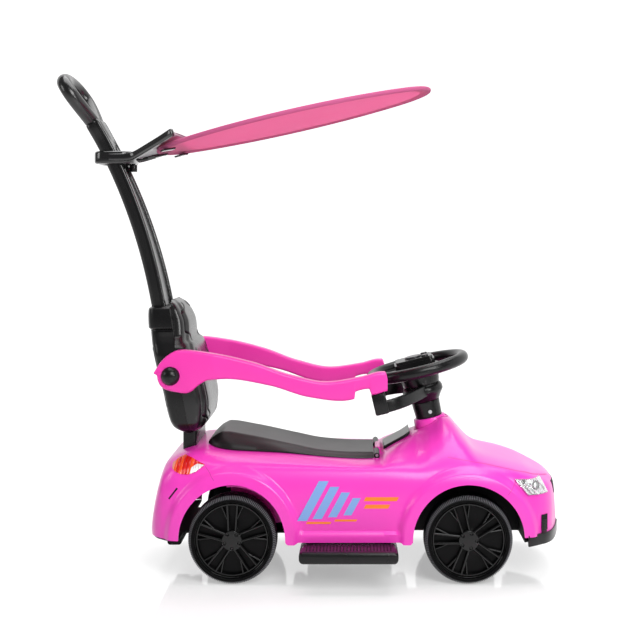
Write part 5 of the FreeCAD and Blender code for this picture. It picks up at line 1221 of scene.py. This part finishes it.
def shell(surface_line, width_line, top, fullness, pad_height, grooves):
    """A backrest half: at each height a superellipse from the parting plane out to the surface line.

    A pad stands out from its middle by pad_height. Grooves are (low, high, inset, width, depth): lines cut
    round a pad, a set distance in from its side.
    """
    z = np.concatenate([np.linspace(back_low, back_low + 6, 8)[:-1], np.linspace(back_low + 6, top - 6, 140),
                        np.linspace(top - 6, top, 9)[1:]])[:, None]
    turn = np.linspace(0, np.pi, 110)
    wide, seam, face = width_line(z), parting_line(z), surface_line(z)
    power = 2 / fullness
    across = wide * np.sign(np.cos(turn)) * np.abs(np.cos(turn)) ** power
    out = (np.abs(face - seam) - pad_height) * np.sin(turn) ** power
    out = out + pad_height * ease((wide - pad_margin - np.abs(across)) / pad_slope) * np.sin(turn)
    for low, high, inset, width, depth in grooves:
        reach = ease((z - low) / groove_bend) * ease((high - z) / groove_bend)
        line = wide - inset - groove_turn * (1 - reach)
        fade = (ease((z - low + groove_fade) / groove_fade)
                * ease((high + groove_fade - z) / groove_fade))
        out = out - depth * fade * np.exp(-((np.abs(across) - line) / width) ** 2) * (np.sin(turn) > 0.2)
    x = seam + np.sign(face - seam) * np.maximum(out, 0.15)
    return capped(grid(x, across, z))


guard_outer = cad_size("guard_arm_left")[1][1]
guard_thickness = 23.0
guard_pivot = np.array([-220.0, 0.0, 338.0])


def pivot_boss():
    """Left round boss that carries the guard arm's pivot, with a rounded outer edge."""
    radius, start, end, rounding = 18.0, 90.0, guard_outer - guard_thickness - 0.3, 1.5
    profile = [(0, start), (radius, start), (radius, end - rounding)]
    profile += [(radius - 0.3 * rounding, end - 0.3 * rounding), (radius - rounding, end), (0, end)]
    return turned(profile, guard_pivot, ACROSS, 64, False)


def backrest_post():
    """Post between the body and the backrest: rounded rectangles from the body's ridge up into the shell."""
    middle_x, half_across, half_deep, corner = -198.5, 62, 11.5, 5
    z = column(192, 210, 228, 250)
    across, ahead = rounded_loop(half_across, half_deep, corner)
    return capped(grid(middle_x + ahead, across, z))


def rear_screw(y, z):
    """Pan head on the backrest's rear face, with a round drive sink, turned about the car's length."""
    seam = parting_line(z)
    flat = (1 - (abs(y) / rear_width_line(z)) ** shell_fullness) ** (1 / shell_fullness)
    place = np.array([seam - (seam - back_rear_line(z)) * flat, y, z])
    profile = [(0, -1.5), (4.2, -1.5), (4.2, 0.7), (3.6, 1.6), (2.2, 2.0), (1.5, 2.0), (1.2, 0.9), (0, 0.9)]
    return turned(profile, place, (-1, 0, 0), 32, False)


rear_grooves = [(268, 392, 12, 2.2, 2.5)]
pad_grooves = [(254, 372, 15, 2.4, 5.0), (262, 366, 30, 2.0, 4.0), (393, 448, 13, 2.2, 5.0)]
rear_half = shell(back_rear_line, rear_width_line, rear_top, shell_fullness, 0.0, rear_grooves)
front_half = shell(back_front_line, front_width_line, front_top, pad_fullness, 4.0, pad_grooves)
piece("backrest_back", [rear_half, backrest_post()] + both_sides([pivot_boss()]), black, "car",
      ["backrest_rear_shell"], sharp=50)
piece("backrest_pad", [front_half], pad_black, "car", ["backrest_front_shell"], sharp=50)
screw_y, screw_heights = 66, (292, 376)
screw_heads = [rear_screw(y, z) for y in (screw_y, -screw_y) for z in screw_heights]
piece("backrest_screw_heads", screw_heads, steel, "car", ["backrest_screws"])


# Guard bracket

block_ahead, block_across = -76.5, 95.0         # middle of an end block, in the column's own axes
band_up = 48.5              # middle of the band, up the column


def column_place(ahead, across, up):
    """World points from the steering column's own axes: ahead of it, across the car, up along it."""
    lean_x, lean_z = math.cos(column_lean), math.sin(column_lean)
    x = column_x + ahead * lean_x - up * lean_z
    return grid(x, across, column_z + ahead * lean_z + up * lean_x)


def bracket_hub():
    """Bulging hub round the column, over the sleeve."""
    profile = [(8, 28.2), (24, 28.2), (25.5, 29.5), (28, 34), (31.5, 39), (34.5, 43), (35.4, 46), (35.2, 50),
               (33.8, 54), (31.8, 56.6), (30.8, 57.6), (8, 57.6)]
    return turned(profile, column_foot, column_axis, 96)


def bracket_side():
    """Left end block and the curved band that carries it: rounded sections led up and along."""
    up = column(38.0, 38.8, 40.5, 71.5, 73.2, 74.0)
    less = column(2.2, 0.7, 0, 0, 0.7, 2.2)
    ahead, across = rounded_loop(11.5 - less, 11 - less, 2.6)
    block = column_place(block_ahead + ahead, block_across + across, up)
    poles = np.array([(-78, 96), (-66, 97), (-50, 93), (-30, 75), (-14, 52), (-4, 36), (2, 26)])
    path = spline_weights(len(poles), np.linspace(0, 1, 40)) @ poles
    along = unit(np.gradient(path, axis=0))
    thick, high = rounded_loop(5.5, 10.0, 2.4)
    ahead, across = path[:, :1] - thick * along[:, 1:], path[:, 1:] + thick * along[:, :1]
    band = column_place(ahead, across, band_up + high)
    return [capped(block), capped(band)]


piece("guard_bracket_form", [bracket_hub()] + both_sides(bracket_side()), black, "car",
      ["guard_bracket"], sharp=45)


# Guard arms

guard_front_x = 134.0
guard_bend_x = -150.0
guard_front_y = block_across
rest_top = 74.3             # up the column, where the arms' front ends rest


def rest_height(x):
    """Height of the sloping rest on the bracket's blocks, which lies square to the steering column."""
    return (column_z + rest_top * math.cos(column_lean)
            + (x - column_x + rest_top * math.sin(column_lean)) * math.tan(column_lean))


def guard_arm():
    """Left arm: rounded rectangles between a waved top line and a notched lower one, led inward ahead."""
    px, pz, fx = guard_pivot[0], guard_pivot[2], guard_front_x
    top = smooth_line(
        shifted(px, pz, (-27, 6), (-21, 16.5), (-14.5, 25), (-3, 35), (10, 41), (18, 42), (66, 36.5),
                (132, 21.5), (197, -1), (255, -12.5))
        + shifted(fx, pz, (-42, -5), (-8, 3), (-3, 3), (0, 0), (2, -8)))
    under = smooth_line(
        shifted(px, pz, (-27, 4), (-22.5, 0.5), (-20.5, -9), (-16, -17), (-8, -22.5), (5, -26), (24, -28.5),
                (32, -26.5), (46, -15), (62, -7), (90, -5.5), (161, -17))
        + shifted(fx, pz, (-128, -37), (-74, -44), (-53, -41), (-51, -29), (-29, -24.5))
        + [(x, rest_height(x)) for x in (fx - 24, fx + 2)])
    rear = px - 27 + 30 * (1 - np.cos(np.linspace(0, np.pi / 2, 40)))
    x = np.concatenate([rear, np.linspace(px + 4, fx - 55, 120), np.linspace(fx - 54, fx - 22, 60),
                        np.linspace(fx - 21, fx + 2, 24)])
    high, low = top(x)[:, None], under(x)[:, None]
    half = (high - low) / 2
    across, up = rounded_loop(guard_thickness / 2, half, np.minimum(4.5, 0.6 * half))
    straight_y = guard_outer - guard_thickness / 2
    drawn = (straight_y - guard_front_y) / (guard_front_x - guard_bend_x)
    middle_y = straight_y - drawn * np.maximum(x - guard_bend_x, 0)[:, None]
    return [capped(grid(x[:, None], middle_y + across, (high + low) / 2 + up))]


for side in SIDES:
    piece("arm_" + side, on_side(side, guard_arm()), pink_arm, "guard_" + side,
          ["guard_arm_" + side], sharp=50)


# Footrests

tray_low, tray_high = cad_size("footrest_left")
tray_top_z = tray_high[2]
tray_inner_y = 130.0
tread_y = 150.0             # the tread in the open starts here
tray_corner = 7.0
tread_ribs = 26


def footrest_tray():
    """Left tray: rounded rings from under the sill out to a soft edge, and two tongues that run inward."""
    y = column(tray_inner_y, tread_y - 0.5, tread_y, 176, 193, 196, 198, 199.3, tray_high[1])
    shrink = column(0.5, 0, 0, 0, 0, 0.5, 1.3, 2.6, 4.4)
    top = tray_top_z - column(0.8, 0.8, 0.3, 0.3, 0.3, 0.3, 0.3, 0.3, 0.3)
    parts = [cross_bar((tray_low[0] + tray_high[0]) / 2, y, (tray_low[2] + top) / 2,
                       (tray_high[0] - tray_low[0]) / 2, (top - tray_low[2]) / 2,
                       np.maximum(tray_corner - shrink, 1.5), shrink)]
    y = column(tray_low[1], tray_low[1] + 1, tray_inner_y + 4)
    for x in (tray_low[0] + 22, tray_high[0] - 22):
        parts.append(cross_bar(x, y, tray_top_z - 5.2, 10, 4.2, 1.5, column(1, 0, 0)))
    return parts


def footrest_ribs():
    """Low ribs across the tread: thin bars with rounded tops, side by side along the car."""
    y, less = column(tread_y + 2, tread_y + 3, 190, 192.5), column(0.6, 0, 0, 0.6)
    return [cross_bar(x, y, tray_top_z - 0.8, 1.2, 0.8, 0.2, less)
            for x in np.linspace(tray_low[0] + 12, tray_high[0] - 12, tread_ribs)]


for side in SIDES:
    body = "footrest_" + side
    piece("tray_" + side, on_side(side, footrest_tray()), black, body, [body], sharp=50)
    piece("tray_ribs_" + side, on_side(side, footrest_ribs()), black_dull, body)


# Softened edges of the plain moulded solids

for name, width in (("hub_cover", 1.4), ("steering_wheel", 1.2), ("column_sleeve", 0.8),
                    ("front_bumper_lip", 1.0), ("dash_panel", 1.2), ("canopy_clamp_knob", 1.0)):
    weld = nodes[name].modifiers.new("weld", "WELD")
    weld.merge_threshold = 0.02 * MM
    soft = nodes[name].modifiers.new("soft_edges", "BEVEL")
    soft.width = width * MM
    soft.segments = 3
    soft.limit_method = "ANGLE"
    soft.angle_limit = math.radians(40)
    soft.harden_normals = True


# Stage, light and camera

# The photograph's view, in pixels of its picture
picture_size = 640
view_depth = 1143           # focal length
view_drop = 90              # horizon above the picture's middle
view_side = 35              # straight-ahead point to the right of the middle
sensor_width = 36.0         # millimetres
camera_spot = (0.082, -2.0, 0.577)      # metres


def plain(name, colour, glow, roughness):
    """A studio surface with a glow of its own, for rays from the camera, off a gloss or through a lens."""
    finish, shader = new_finish(name)
    seen = add(finish, "LightPath", {}, "Is Camera Ray")
    for kind in ("Is Glossy Ray", "Is Transmission Ray"):
        ray = add(finish, "LightPath", {}, kind)
        seen = add(finish, "Math", {0: seen, 1: ray}, "Value", operation="MAXIMUM")
    power = add(finish, "Math", {0: seen, 1: glow}, "Value", operation="MULTIPLY")
    wire(finish, shader, {"Base Color": hex_colour(colour), "Roughness": roughness,
                          "Emission Color": hex_colour("#FFFFFF"), "Emission Strength": power})
    return finish


def stage_plane(name, corners, finish):
    """One flat studio surface."""
    mesh = bpy.data.meshes.new(name)
    mesh.from_pydata(corners, [], [(0, 1, 2, 3)])
    mesh.materials.append(finish)
    made = bpy.data.objects.new(name, mesh)
    bpy.context.scene.collection.objects.link(made)


def lamp(name, spot, aim, size, watts):
    """One square soft box."""
    data = bpy.data.lights.new(name, "AREA")
    data.size = size
    data.energy = watts
    made = bpy.data.objects.new(name, data)
    made.location = spot
    made.rotation_euler = (Vector(aim) - Vector(spot)).to_track_quat("-Z", "Y").to_euler()
    bpy.context.scene.collection.objects.link(made)


def studio():
    """Polished white floor, bright backdrop behind the car, a paper wing at its right, and soft lamps."""
    reach, back, wing = 14.0, 7.0, 6.0
    floor = [(-reach, -reach, 0), (reach, -reach, 0), (reach, reach, 0), (-reach, reach, 0)]
    stage_plane("studio_floor", floor, plain("polished_white_floor", "#DADADA", 0.40, 0.07))
    paper = plain("white_paper_backdrop", "#DADADA", 1.0, 0.9)
    behind = [(-reach, back, 0), (reach, back, 0), (reach, back, 9), (-reach, back, 9)]
    stage_plane("studio_backdrop", behind, paper)
    beside = [(wing, -2, 0), (wing, back, 0), (wing, back, 7), (wing, -2, 7)]
    stage_plane("studio_right_wing", beside, paper)
    lamp("top_softbox", (0.1, 0.4, 2.7), (0.05, 0.0, 0.2), 2.2, 62.0)
    lamp("key_softbox", (0.9, -2.2, 1.9), (0.1, 0.0, 0.2), 1.4, 52.0)
    lamp("side_spark", (1.5, -1.9, 0.9), (0.1, -0.15, 0.1), 0.25, 9.0)
    lamp("rear_softbox", (-2.4, -0.7, 1.2), (0.0, 0.0, 0.3), 0.9, 8.0)


def surrounding_light():
    """White world, dim as a light and bright where the camera sees it."""
    world = bpy.data.worlds.new("studio_world")
    bpy.context.scene.world = world
    world.use_nodes = True
    power = spread(world, add(world, "LightPath", {}, "Is Camera Ray"), 0.22, 1.0)
    wire(world, world.node_tree.nodes["Background"], {"Color": hex_colour("#FFFFFF"), "Strength": power})


def photograph_camera():
    """Level camera at the car's right, its picture shifted so that uprights stay upright."""
    data = bpy.data.cameras.new("camera")
    data.sensor_width = sensor_width
    data.lens = sensor_width * view_depth / picture_size
    data.shift_x = -view_side / picture_size
    data.shift_y = -view_drop / picture_size
    camera = bpy.data.objects.new("camera", data)
    camera.location = camera_spot
    camera.rotation_euler = (math.pi / 2, 0, 0)
    bpy.context.scene.collection.objects.link(camera)
    bpy.context.scene.camera = camera


studio()
surrounding_light()
photograph_camera()
bpy.context.scene.view_settings.view_transform = "Standard"
